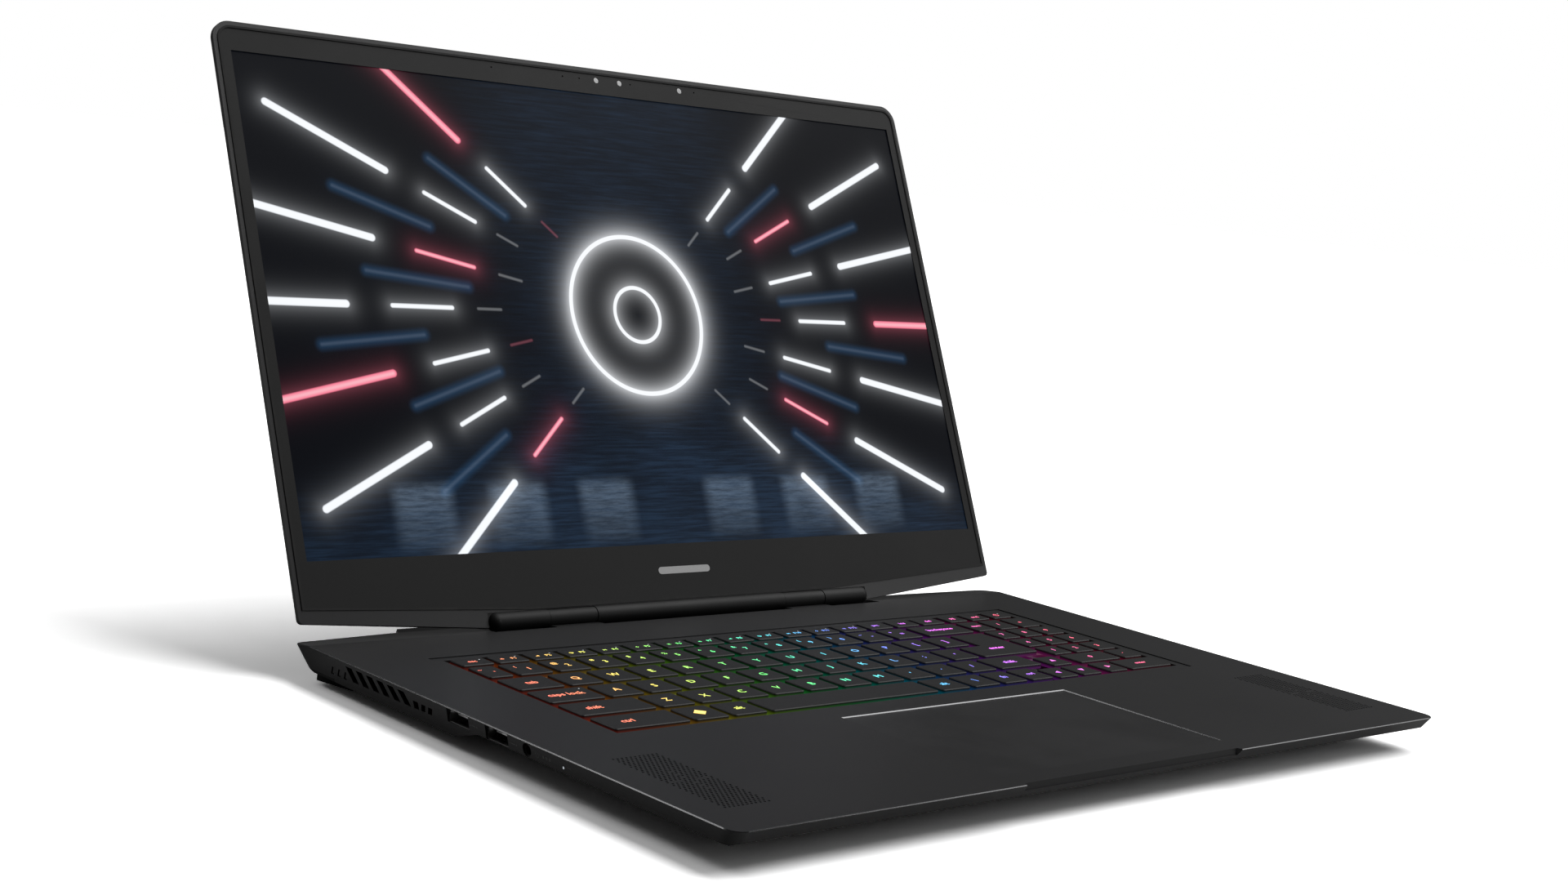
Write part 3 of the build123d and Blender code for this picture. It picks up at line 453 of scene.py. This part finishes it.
def glow_patch(m, point, x_middle, total):
    """Adds one pale patch, broken by brush noise, to the colour total."""
    x, y, _ = m.split(m.vector("SUBTRACT", point, (x_middle, PATCH_UP, 0)))
    half_x, half_y = PATCH_HALF
    inside_x = m.fade(m.math("ABSOLUTE", x), half_x + PATCH_EDGE, half_x - PATCH_EDGE)
    inside_y = m.fade(m.math("ABSOLUTE", y), half_y + PATCH_EDGE, half_y - PATCH_EDGE)
    speckle = m.noise(m.vector("MULTIPLY", point, (0.09, 0.7, 0)), 1.0, 5.0, 0.7)
    fade_down = m.fade(y, -half_y, half_y, 0.35, 1.0)
    shade = m.math("MULTIPLY", m.math("MULTIPLY", inside_x, inside_y), m.fade(speckle, 0.3, 0.7, 0.35, 1.0))
    light = m.scale(PATCH_COLOUR, m.math("MULTIPLY", shade, fade_down))
    return m.vector("ADD", total, light)


def ring_mark(m, point, total):
    """Two plain glowing rings on a dark disc."""
    reach = m.vector("LENGTH", point, output="Value")
    total = m.mix(m.fade(reach, 40.0, 37.0, 0.0, 0.85), total, rgba((0.001, 0.0012, 0.002)))
    for radius, half, halo in RINGS:
        edge = m.math("SUBTRACT", m.math("ABSOLUTE", m.math("SUBTRACT", reach, radius)), half)
        core = m.fade(edge, RING_EDGE, -RING_EDGE)
        fall = m.math("MULTIPLY", m.math("POWER", RING_FALL, m.math("MAXIMUM", edge, 0.0)), halo)
        total = m.vector("ADD", total, m.scale(RING_COLOUR, m.math("MAXIMUM", core, fall)))
    return total


def screen_picture():
    """Lit picture on the panel's front face, dark metal on its sides and back."""
    m = Material("screen_picture")
    front = lid_span("lcd_panel", LID_OUT)[1]
    centre = lid_point(0, SCREEN_MID, front)
    offset = m.scale(m.vector("SUBTRACT", m.place, centre), 1 / MM)
    x = m.split(offset)[0]
    y = m.dot(offset, LID_UP)
    out = m.dot(offset, LID_OUT)
    point = m.join(x, y)
    side_gap = m.math("ABSOLUTE", x)
    fold = m.join(m.math("MULTIPLY", side_gap, -1.0), y)
    right = m.fade(x, -0.5, 0.5)
    total = backdrop(m, point, side_gap)
    for x_middle in PATCH_PLACES:
        total = glow_patch(m, fold, x_middle, total)
    group = streak_group()

    def add_bar(total, a, b, radius, soft, halo, colour):
        inputs = {"Point": fold, "A": a, "B": b, "Radius": radius, "Soft": soft, "Halo": halo,
                  "Colour": colour, "Sum": total}
        return m.add("ShaderNodeGroup", inputs, node_tree=group).outputs[0]

    for a, b in haze_rows():
        total = add_bar(total, a, b, HAZE_RADIUS, HAZE_RADIUS * 2.2, HAZE_HALO, rgba(BLUE_HAZE))
    for a, b, radius, left_colour, right_colour in bar_rows():
        colour = m.mix(right, rgba(left_colour), rgba(right_colour))
        halo = BAR_HALO if max(left_colour) > DIM else DIM_HALO
        total = add_bar(total, a, b, radius, BAR_EDGE, halo, colour)
    total = ring_mark(m, point, total)
    lit = m.math("MULTIPLY", m.fade(out, -0.3, -0.1), SCREEN_LIGHT)
    grain = m.noise(m.place, 4000.0, 1.0)
    return m.surface(rgba((0.002, 0.002, 0.0025)), m.fade(grain, 0.3, 0.7, 0.3, 0.36),
                     Specular_IOR_Level=0.04, Emission_Color=total, Emission_Strength=lit)


SLOT_MATERIALS = {
    "dark_metal": lambda: casing_metal("casing_metal", False),
    "keycap": key_plastic,
    "barrel_plastic": lambda: soft_black("barrel_plastic_dark", 0.006, 0.55, 0.16),
    "bezel_plastic": lambda: soft_black("bezel_plastic_dark", 0.012, 0.5, 0.13),
    "soft_rubber": rubber,
    "screen": screen_picture,
    "lens_glass": lens_glass,
    "pad_glass": pad_glass,
    "light_guide": lambda: light_guide("light_guide_white", 1.0),
    "circuit_board": circuit_board,
    "cable_sleeve": cable_sleeve,
    "hinge_steel": lambda: brushed_steel("hinge_steel_brushed", (0.42, 0.42, 0.43)),
    "socket_steel": lambda: brushed_steel("socket_steel_plated", (0.5, 0.5, 0.5)),
    "copper": copper,
    "battery_wrap": battery_wrap,
}
NODE_MATERIALS = {
    "status_led": lambda: light_guide("status_light_white", 0.5),
    "top_case": lambda: casing_metal("casing_metal_cut_edge", True),
    "switch_membrane": membrane_glow,
}


def dress_nodes():
    """Gives every CAD node the material of its slot, or its own."""
    made = {}
    for name, node in NODES.items():
        slot = node.data.materials[0].name
        key = name if name in NODE_MATERIALS else slot
        if key not in made:
            made[key] = NODE_MATERIALS[key]() if key == name else SLOT_MATERIALS[slot]()
        node.data.materials[0] = made[key]
    return made


MADE = dress_nodes()
LEGEND_INK = legend_ink()


# --- Meshes ---

def mesh_piece(name, mesh, material, body):
    """Puts a finished mesh in the scene as a piece on a body."""
    piece = bpy.data.objects.new(name, mesh)
    bpy.context.scene.collection.objects.link(piece)
    mesh.materials.append(material)
    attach(piece, body)
    return piece


def bmesh_to(name, bm):
    mesh = bpy.data.meshes.new(name)
    bmesh.ops.recalc_face_normals(bm, faces=bm.faces)
    bm.to_mesh(mesh)
    bm.free()
    return mesh


def add_prism(bm, ring, z0, z1):
    """Closed prism over a ring of (x, y) points."""
    low = [bm.verts.new((x, y, z0)) for x, y in ring]
    high = [bm.verts.new((x, y, z1)) for x, y in ring]
    count = len(ring)
    bm.faces.new(low[::-1])
    bm.faces.new(high)
    for i in range(count):
        j = (i + 1) % count
        bm.faces.new((low[i], low[j], high[j], high[i]))


# --- Key legends ---

LEGEND_RISE = 0.06 * MM
LEGEND_SINK = 0.03 * MM
SMALLEST_CAP = 5 * MM        # smaller top faces are no caps
ROW_STEP = 4 * MM            # caps whose middles differ by less than this lie in one row


def cap_tops(node):
    """Top faces of a node's caps as (x0, y0, x1, y1), back rows first, then left to right."""
    mesh = NODES[node].data
    top = max(v.co.z for v in mesh.vertices) - 0.001 * MM
    parent = {}

    def root(i):
        while parent[i] != i:
            i = parent[i]
        return i

    for polygon in mesh.polygons:
        ids = list(polygon.vertices)
        if all(mesh.vertices[i].co.z > top for i in ids):
            for i in ids:
                parent.setdefault(i, i)
            for i in ids[1:]:
                parent[root(i)] = root(ids[0])
    boxes = {}
    for i in parent:
        co = mesh.vertices[i].co
        box = boxes.setdefault(root(i), [co.x, co.y, co.x, co.y])
        box[0], box[1] = min(box[0], co.x), min(box[1], co.y)
        box[2], box[3] = max(box[2], co.x), max(box[3], co.y)
    found = [b for b in boxes.values() if b[2] - b[0] > SMALLEST_CAP]
    return sorted(found, key=lambda b: (-round((b[1] + b[3]) / 2 / ROW_STEP), b[0]))


def text_mesh(body, size):
    """Thin solid of a short text."""
    curve = bpy.data.curves.new("legend", "FONT")
    curve.body = body
    curve.size = size
    curve.resolution_u = 2
    curve.extrude = (LEGEND_RISE + LEGEND_SINK) / 2
    maker = bpy.data.objects.new("legend_maker", curve)
    bpy.context.scene.collection.objects.link(maker)
    bpy.context.view_layer.update()
    ready = maker.evaluated_get(bpy.context.evaluated_depsgraph_get())
    mesh = bpy.data.meshes.new_from_object(ready)
    bpy.data.objects.remove(maker)
    bpy.data.curves.remove(curve)
    return mesh


def add_text(bm, body, size, x, y, z, anchor="centre"):
    """Adds a short text whose outline is centred, or starts at x, with its middle at y."""
    mesh = text_mesh(body, size)
    xs = [v.co.x for v in mesh.vertices]
    ys = [v.co.y for v in mesh.vertices]
    shift_x = x - (min(xs) if anchor == "left" else (min(xs) + max(xs)) / 2)
    shift_y = y - (min(ys) + max(ys)) / 2
    mesh.transform(Matrix.Translation((shift_x, shift_y, z + (LEGEND_RISE - LEGEND_SINK) / 2)))
    bm.from_mesh(mesh)
    bpy.data.meshes.remove(mesh)


def add_shape(bm, ring, x, y, z):
    """Adds a small printed shape, its ring given round its own middle."""
    add_prism(bm, [(x + px, y + py) for px, py in ring], z - LEGEND_SINK, z + LEGEND_RISE)


def bar_ring(width, height):
    w, h = width / 2, height / 2
    return [(-w, -h), (w, -h), (w, h), (-w, h)]


def polygon_ring(sides, radius, turn=0.0):
    return [(radius * math.cos(turn + math.tau * i / sides), radius * math.sin(turn + math.tau * i / sides))
            for i in range(sides)]


def sun_icon(bm, x, y, z):
    add_shape(bm, polygon_ring(12, 0.42 * MM), x, y, z)
    for i in range(8):
        turn = math.tau * i / 8
        add_shape(bm, polygon_ring(4, 0.13 * MM), x + 0.85 * MM * math.cos(turn),
                  y + 0.85 * MM * math.sin(turn), z)


def speaker_icon(bm, x, y, z):
    add_shape(bm, [(-0.8 * MM, -0.3 * MM), (-0.3 * MM, -0.3 * MM), (0.2 * MM, -0.75 * MM),
                   (0.2 * MM, 0.75 * MM), (-0.3 * MM, 0.3 * MM), (-0.8 * MM, 0.3 * MM)], x, y, z)
    add_shape(bm, bar_ring(0.16 * MM, 0.9 * MM), x + 0.65 * MM, y, z)


def bars_icon(bm, x, y, z):
    for i in range(3):
        tall = (0.5 + 0.4 * i) * MM
        add_shape(bm, bar_ring(0.35 * MM, tall), x + (i - 1) * 0.6 * MM, y + tall / 2 - 0.65 * MM, z)


def frame_icon(bm, x, y, z):
    for dx, dy, w, h in ((0, 0.6, 1.7, 0.16), (0, -0.35, 1.7, 0.16), (-0.77, 0.12, 0.16, 1.1),
                         (0.77, 0.12, 0.16, 1.1), (0, -0.75, 0.8, 0.16)):
        add_shape(bm, bar_ring(w * MM, h * MM), x + dx * MM, y + dy * MM, z)


def play_icon(bm, x, y, z):
    add_shape(bm, polygon_ring(3, 0.75 * MM), x - 0.35 * MM, y, z)
    add_shape(bm, bar_ring(0.22 * MM, 1.2 * MM), x + 0.65 * MM, y, z)


def dots_icon(bm, x, y, z):
    for dx, dy in ((-0.6, 0), (0, 0), (0.6, 0), (0, 0.6), (0, -0.6)):
        add_shape(bm, polygon_ring(6, 0.2 * MM), x + dx * MM, y + dy * MM, z)


# Small generic signs, which the function keys carry in turn
ICONS = (sun_icon, speaker_icon, bars_icon, frame_icon, play_icon, dots_icon)


LETTER = 5.0 * MM
SMALL = 3.3 * MM
WORD = 4.5 * MM
SHIFTED = "~!@#$%^&*()_+"
PLAIN = "`1234567890-="


def middle(box):
    return (box[0] + box[2]) / 2, (box[1] + box[3]) / 2


def letters(row):
    return lambda bm, i, box, z: add_text(bm, row[i], LETTER, *middle(box), z)


def word(text, size=WORD, inset=None, up=0.0):
    """Legend of one word, centred or starting at an inset from the cap's left edge."""
    def draw(bm, i, box, z):
        x, y = middle(box)
        if inset is None:
            add_text(bm, text, size, x, y + up, z)
        else:
            add_text(bm, text, size, box[0] + inset, y + up, z, "left")
    return draw


def each(draws):
    return lambda bm, i, box, z: draws[i](bm, i, box, z)


def number_legend(bm, i, box, z):
    x, y = middle(box)
    add_text(bm, PLAIN[i], LETTER * 0.86, x + 1.2 * MM, y - 0.6 * MM, z)
    add_text(bm, SHIFTED[i], SMALL, x - 3.3 * MM, y + 2.6 * MM, z)


FUNCTION_WORDS = ["esc"] + [f"F{i}" for i in range(1, 13)] + ["prt", "ins", "del", "pg", "end"]


def function_legend(bm, i, box, z):
    """An F key has its name beside a sign; the other keys of the row have a word alone."""
    x, y = middle(box)
    text = FUNCTION_WORDS[i]
    if text.startswith("F"):
        ICONS[i % len(ICONS)](bm, x - 2.9 * MM, y, z)
        add_text(bm, text, SMALL * 0.86, x + 2.4 * MM, y, z)
    else:
        add_text(bm, text, SMALL, x, y, z)


def arrow(turn):
    return lambda bm, i, box, z: add_shape(bm, polygon_ring(3, 1.7 * MM, turn), *middle(box), z)


def diamond(bm, i, box, z):
    """Filled square turned on its corner, for the menu key."""
    add_shape(bm, polygon_ring(4, 3.1 * MM), *middle(box), z)


def power_sign(bm, i, box, z):
    x, y = middle(box)
    for k in range(9):
        turn = math.radians(130 + 35 * k)
        add_shape(bm, polygon_ring(6, 0.28 * MM), x + 1.3 * MM * math.cos(turn),
                  y + 1.3 * MM * math.sin(turn), z)
    add_shape(bm, bar_ring(0.35 * MM, 1.5 * MM), x, y + 0.9 * MM, z)


KEYPAD = ["num", "/", "*", "7", "8", "9", "4", "5", "6", "1", "2", "3", "0", ".", "enter"]


def keypad_legend(bm, i, box, z):
    text = KEYPAD[i]
    add_text(bm, text, LETTER * 0.8 if len(text) == 1 else SMALL, *middle(box), z)


LEGENDS = {
    "function_keys": function_legend,
    "power_key": power_sign,
    "number_keys": number_legend,
    "backspace_key": word("backspace", 4.0 * MM),
    "tab_key": word("tab"),
    "top_letter_keys": letters("QWERTYUIOP[]"),
    "caps_lock_key": word("caps lock"),
    "home_letter_keys": letters("ASDFGHJKL;'"),
    "enter_key": word("enter", inset=14 * MM, up=-7 * MM),
    "left_shift_key": word("shift", inset=7 * MM),
    "low_letter_keys": letters("ZXCVBNM,./"),
    "right_shift_key": word("shift"),
    "modifier_keys": each([word("ctrl", inset=8 * MM), diamond, word("alt"), word("alt"), word("\\", LETTER),
                           word("fn"), word("ctrl", 3.6 * MM)]),
    "arrow_keys": each([arrow(math.pi / 2), arrow(math.pi), arrow(-math.pi / 2), arrow(0.0)]),
    "keypad_keys": keypad_legend,
}


def add_legends():
    for node, draw in LEGENDS.items():
        bm = bmesh.new()
        for i, box in enumerate(cap_tops(node)):
            draw(bm, i, box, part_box(node)[1].z)
        mesh = bpy.data.meshes.new(node + "_legends")
        bm.to_mesh(mesh)
        bm.free()
        mesh_piece(node + "_legends", mesh, LEGEND_INK, node + "_body")


add_legends()

LAMPS = {"caps_lock_key": (0,), "power_key": (0,), "function_keys": range(13)}
LAMP_R = 0.3 * MM
LAMP_IN = 2.6 * MM           # from the cap's right edge
LAMP_AHEAD = 2.2 * MM        # from its rear edge


def add_lamps():
    """Tiny white lamps near the rear right corners of some caps."""
    for node, picks in LAMPS.items():
        bm = bmesh.new()
        tops = cap_tops(node)
        for i in picks:
            add_shape(bm, polygon_ring(8, LAMP_R), tops[i][2] - LAMP_IN, tops[i][3] - LAMP_AHEAD,
                      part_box(node)[1].z)
        mesh_piece(node + "_lamps", bmesh_to(node + "_lamps", bm), MADE["status_led"], node + "_body")


add_lamps()


# --- Marks beside the side sockets ---

WALL_LEAN = math.radians(15)
RIM_DROP = 0.4 * MM          # the casing is widest this far below the deck
MARK_HEIGHT = -3.1 * MM      # from the deck
MARK_SINK = 0.05 * MM
MARK_RISE = 0.03 * MM
USB_MARKS = (52.0, 28.4)     # millimetres behind the lamp, as are the next three
USB_DOT_GAP = 1.9
JACK_MARK = 14.6
SLOT_MARKS = (11.0, 9.2, 7.4)
LAMP_MARK = 3.2              # millimetres in front of the lamp


def wall_place(y, height):
    """Frame on the leaning left wall: x towards the user, y up the wall, z outward."""
    lean_in = (-height - RIM_DROP) * math.tan(WALL_LEAN)
    along = Vector((0, -1, 0))
    up = Vector((-math.sin(WALL_LEAN), 0, math.cos(WALL_LEAN)))
    place = Matrix((along, up, along.cross(up))).transposed().to_4x4()
    place.translation = (lean_in - CASE_HI.x, y, DECK + height)
    return place


def mark_ink():
    """Grey print on the wall."""
    m = Material("mark_ink_grey")
    worn = m.noise(m.place, 900.0, 2.0)
    tone = m.mix(m.fade(worn, 0.3, 0.7), rgba((0.06, 0.06, 0.06)), rgba((0.1, 0.1, 0.1)))
    return m.surface(tone, 0.5)


def add_socket_marks():
    """Plain bars, dots and a ring printed beside the sockets and the lamp."""
    lamp_y = sum(corner.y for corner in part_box("status_led")) / 2
    bar, dot = bar_ring(2.2 * MM, 0.35 * MM), polygon_ring(8, 0.35 * MM)
    bm = bmesh.new()
    for behind in USB_MARKS:
        for shift, ring in ((0, bar), (USB_DOT_GAP, dot), (-USB_DOT_GAP, dot)):
            add_on_wall(bm, ring, lamp_y + (behind - shift) * MM, MARK_HEIGHT)
    for k in range(8):
        turn = math.tau * k / 8
        add_on_wall(bm, polygon_ring(5, 0.22 * MM), lamp_y + (JACK_MARK + math.cos(turn)) * MM,
                    MARK_HEIGHT + math.sin(turn) * MM)
    for behind in SLOT_MARKS:
        add_on_wall(bm, bar_ring(0.9 * MM, 1.1 * MM), lamp_y + behind * MM, MARK_HEIGHT)
    add_on_wall(bm, bar, lamp_y - LAMP_MARK * MM, MARK_HEIGHT)
    mesh_piece("socket_marks", bmesh_to("socket_marks", bm), mark_ink(), "base")


def add_on_wall(bm, ring, y, height):
    """Adds one flat printed shape to the left wall."""
    mark = bmesh.new()
    add_prism(mark, ring, -MARK_SINK, MARK_RISE)
    mark.transform(wall_place(y, height))
    mesh = bpy.data.meshes.new("mark")
    mark.to_mesh(mesh)
    mark.free()
    bm.from_mesh(mesh)
    bpy.data.meshes.remove(mesh)


add_socket_marks()


# --- Speaker grilles ---

HOLE_PITCH = 1.85 * MM
ROW_PITCH = 1.6 * MM
HOLE_R = 0.52 * MM
HOLE_SIDES = 8
PLATE_WIDTH = 20.8 * MM      # the perforated part of a grille
FELT_TOP = 0.02 * MM         # below the plate
FELT_BOTTOM = 0.3 * MM
SLIT_DEPTH = 0.2 * MM


def grille_cell(bm, x, y, width, height, hole, z0, z1):
    """One cell of the perforated plate: top, bottom and, if it has one, its hole's wall."""
    corners = [(x + sx * width / 2, y + sy * height / 2) for sx, sy in ((-1, -1), (1, -1), (1, 1), (-1, 1))]
    if not hole:
        for z, order in ((z1, 1), (z0, -1)):
            bm.faces.new([bm.verts.new((*c, z)) for c in corners[::order]])
        return
    rim = []
    for k in range(4):
        (ax, ay), (bx, by) = corners[k], corners[(k + 1) % 4]
        rim += [(ax, ay), ((ax + bx) / 2, (ay + by) / 2)]
    hole_ring = [(x + HOLE_R * math.cos(math.radians(225 + 45 * k)),
                  y + HOLE_R * math.sin(math.radians(225 + 45 * k))) for k in range(HOLE_SIDES)]
    levels = {}
    for z in (z0, z1):
        levels[z] = ([bm.verts.new((*p, z)) for p in rim], [bm.verts.new((*p, z)) for p in hole_ring])
    for k in range(HOLE_SIDES):
        j = (k + 1) % HOLE_SIDES
        outer, inner = levels[z1]
        bm.faces.new((outer[k], outer[j], inner[j], inner[k]))
        outer_low, inner_low = levels[z0]
        bm.faces.new((outer_low[j], outer_low[k], inner_low[k], inner_low[j]))
        bm.faces.new((inner[k], inner[j], inner_low[j], inner_low[k]))


# Slits of the plus mark in the middle of a grille: x, y, width, length
SLITS = [(0, 7.0, 0.5, 8.6), (0, -7.0, 0.5, 8.6), (5.6, 0, 6.0, 0.5), (-5.6, 0, 6.0, 0.5)]


def near_slit(dx, dy):
    """True where a hole would meet one of the slits of the plus mark."""
    gap = HOLE_R + 0.15 * MM
    return any(abs(dx - x * MM) < w * MM / 2 + gap and abs(dy - y * MM) < h * MM / 2 + gap
               for x, y, w, h in SLITS)


def grille_plate(bm, x0, x1, y0, y1, z0, z1):
    """Perforated plate; every second row is shifted by half a pitch."""
    across = round((x1 - x0) / HOLE_PITCH)
    along = round((y1 - y0) / ROW_PITCH)
    pitch_x, pitch_y = (x1 - x0) / across, (y1 - y0) / along
    for j in range(along):
        y = y0 + (j + 0.5) * pitch_y
        shift = 0.5 * (j % 2)
        for i in range(across - j % 2):
            x = x0 + (i + 0.5 + shift) * pitch_x
            hole = not near_slit(x - (x0 + x1) / 2, y - (y0 + y1) / 2)
            grille_cell(bm, x, y, pitch_x, pitch_y, hole, z0, z1)
        if j % 2:
            for x in (x0 + pitch_x / 4, x1 - pitch_x / 4):
                grille_cell(bm, x, y, pitch_x / 2, pitch_y, False, z0, z1)
    corners = [(x0, y0), (x1, y0), (x1, y1), (x0, y1)]
    for (ax, ay), (bx, by) in zip(corners, corners[1:] + corners[:1]):
        bm.faces.new([bm.verts.new(p) for p in ((ax, ay, z0), (bx, by, z0), (bx, by, z1), (ax, ay, z1))])


def add_painted_slit_shade(bm, x, y, z):
    """Dark bars on top of the plate: painted shade that stands in for the open slits of the plus mark."""
    for dx, dy, w, h in SLITS:
        ring = [(x + dx * MM + px, y + dy * MM + py) for px, py in bar_ring(w * MM, h * MM)]
        add_prism(bm, ring, z - SLIT_DEPTH, z + 0.01 * MM)


def add_grilles():
    bm = bmesh.new()
    felt_and_slit_shade = bmesh.new()
    for side in (-1, 1):
        x0, x1 = sorted((side * GRILLE_HI.x, side * (GRILLE_HI.x - PLATE_WIDTH)))
        grille_plate(bm, x0, x1, GRILLE_LO.y, GRILLE_HI.y, GRILLE_LO.z, GRILLE_HI.z)
        ring = [(x0, GRILLE_LO.y), (x1, GRILLE_LO.y), (x1, GRILLE_HI.y), (x0, GRILLE_HI.y)]
        add_prism(felt_and_slit_shade, ring, GRILLE_LO.z - FELT_BOTTOM, GRILLE_LO.z - FELT_TOP)
        # the plus mark's slits are dark bars of painted shade laid on the plate, in one mesh with the
        # speaker cloth
        add_painted_slit_shade(felt_and_slit_shade, (x0 + x1) / 2, (GRILLE_LO.y + GRILLE_HI.y) / 2, GRILLE_HI.z)
    bmesh.ops.remove_doubles(bm, verts=bm.verts, dist=0.01 * MM)
    plates = mesh_piece("speaker_grille_plates", bmesh_to("speaker_grille_plates", bm), MADE["top_case"],
                        "base")
    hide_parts("speaker_grilles")
    mesh_piece("speaker_felt_and_slit_shade", bmesh_to("speaker_felt_and_slit_shade", felt_and_slit_shade), MADE["soft_rubber"], "base")


add_grilles()


# --- Chin badge ---

def badge_paint():
    m = Material("badge_paint_grey")
    fine = m.noise(m.place, 5000.0, 2.0)
    tone = m.mix(m.fade(fine, 0.3, 0.7), rgba((0.34, 0.34, 0.34)), rgba((0.42, 0.42, 0.42)))
    return m.surface(tone, 0.4, m.bump(fine, 0.01 * MM))


BADGE_UP = 17.5 * MM
BADGE_SIZE = (30 * MM, 3.2 * MM)


def add_badge():
    """Plain pill-shaped bar on the chin."""
    width, height = BADGE_SIZE
    radius = height / 2
    ring = []
    for k in range(9):
        turn = math.pi / 2 - math.pi * k / 8
        ring.append((width / 2 - radius + radius * math.cos(turn), radius * math.sin(turn)))
    ring += [(-x, -y) for x, y in ring]
    bm = bmesh.new()
    face = lid_span("screen_bezel", LID_OUT)[1]
    add_prism(bm, ring[::-1], -0.05 * MM, 0.08 * MM)
    place = Matrix((Vector((1, 0, 0)), LID_UP, LID_OUT)).transposed().to_4x4()
    place.translation = lid_point(0, BADGE_UP, face)
    bm.transform(place)
    mesh_piece("chin_badge", bmesh_to("chin_badge", bm), badge_paint(), "lid")


add_badge()


# --- Stage ---

FLOOR_REACH = 12.0
FLOOR_SEEN = (1.65, 1.7)     # how bright the camera sees the floor
FLOOR_MIRRORED = 0.42        # how bright reflections see it
FLOOR_BOUNCE = 0.05          # what it throws back on the object
WORLD_LIGHT = 0.07


def grey(level):
    return rgba((level, level, level))


def stage_floor():
    """Pale floor. Only the camera sees it pale, so the dark casing isn't washed out from below."""
    mesh = bpy.data.meshes.new("floor")
    reach = FLOOR_REACH
    mesh.from_pydata([(-reach, -reach, 0), (reach, -reach, 0), (reach, reach, 0), (-reach, reach, 0)], [],
                     [(0, 1, 2, 3)])
    floor = bpy.data.objects.new("floor", mesh)
    bpy.context.scene.collection.objects.link(floor)
    m = Material("floor_paper")
    fine = m.noise(m.place, 60.0, 3.0)
    pale = m.mix(m.fade(fine, 0.3, 0.7), grey(FLOOR_SEEN[0]), grey(FLOOR_SEEN[1]))
    path = m.add("ShaderNodeLightPath").outputs
    bounced = m.mix(path["Is Glossy Ray"], grey(FLOOR_BOUNCE), grey(FLOOR_MIRRORED))
    colour = m.mix(path["Is Camera Ray"], bounced, pale)
    shader = m.add("ShaderNodeBsdfDiffuse", {"Color": colour})
    m.add("ShaderNodeOutputMaterial", {"Surface": shader.outputs[0]})
    mesh.materials.append(m.material)
    floor.location.z = -0.05 * MM


def stage_world():
    """White behind the object, and a dimmer grey for what lights it."""
    world = bpy.data.worlds.new("studio")
    bpy.context.scene.world = world
    world.use_nodes = True
    t = Tree(world.node_tree)
    seen = t.add("ShaderNodeLightPath").outputs["Is Camera Ray"]
    colour = t.mix(seen, grey(WORLD_LIGHT), grey(1.0))
    shader = t.add("ShaderNodeBackground", {"Color": colour, "Strength": 1.0})
    t.add("ShaderNodeOutputWorld", {"Surface": shader.outputs[0]})


def softbox(name, place, target, size, power):
    """Rectangular light at a place, turned towards a target."""
    light = bpy.data.lights.new(name, "AREA")
    light.shape = "RECTANGLE"
    light.size, light.size_y = size
    light.energy = power
    lamp = bpy.data.objects.new(name, light)
    lamp.location = place
    lamp.rotation_mode = "QUATERNION"
    lamp.rotation_quaternion = (Vector(target) - Vector(place)).to_track_quat("-Z", "Y")
    bpy.context.scene.collection.objects.link(lamp)


def sunlight(strength, spread, direction):
    """Very broad sun, its spread in degrees."""
    light = bpy.data.lights.new("sky_sun", "SUN")
    light.energy = strength
    light.angle = math.radians(spread)
    lamp = bpy.data.objects.new("sky_sun", light)
    lamp.rotation_mode = "QUATERNION"
    lamp.rotation_quaternion = Vector(direction).to_track_quat("-Z", "Y")
    bpy.context.scene.collection.objects.link(lamp)


CAMERA_AT = Vector((-0.661, -0.6756, 0.2224))
CAMERA_HEADING = math.radians(43.32)
CAMERA_DOWN = math.radians(7.2)
CAMERA_ROLL = math.radians(6.16)
CAMERA_LENS = 52.32          # millimetres, for a 36 mm sensor


def stage_camera():
    camera = bpy.data.cameras.new("camera")
    camera.lens = CAMERA_LENS
    camera.sensor_width = 36.0
    eye = bpy.data.objects.new("camera", camera)
    bpy.context.scene.collection.objects.link(eye)
    level = Vector((math.cos(CAMERA_HEADING), -math.sin(CAMERA_HEADING), 0))
    ahead = Vector((math.sin(CAMERA_HEADING) * math.cos(CAMERA_DOWN),
                    math.cos(CAMERA_HEADING) * math.cos(CAMERA_DOWN), -math.sin(CAMERA_DOWN)))
    up = level.cross(ahead)
    right = level * math.cos(CAMERA_ROLL) + up * math.sin(CAMERA_ROLL)
    turned = Matrix((right, right.cross(ahead), -ahead)).transposed().to_4x4()
    turned.translation = CAMERA_AT
    eye.matrix_world = turned
    bpy.context.scene.camera = eye


stage_floor()
stage_world()
sunlight(strength=2.9, spread=50, direction=(-0.66, 0.16, -1))
softbox("rear_box", place=(-0.75, 1.5, 1.5), target=(-0.2, 0, 0.02), size=(1.1, 0.9), power=12)
softbox("right_box", place=(1.0, -0.8, 0.4), target=(0.1, 0.05, 0.08), size=(0.5, 0.5), power=2.2)
stage_camera()
bpy.context.scene.view_settings.view_transform = "Standard"
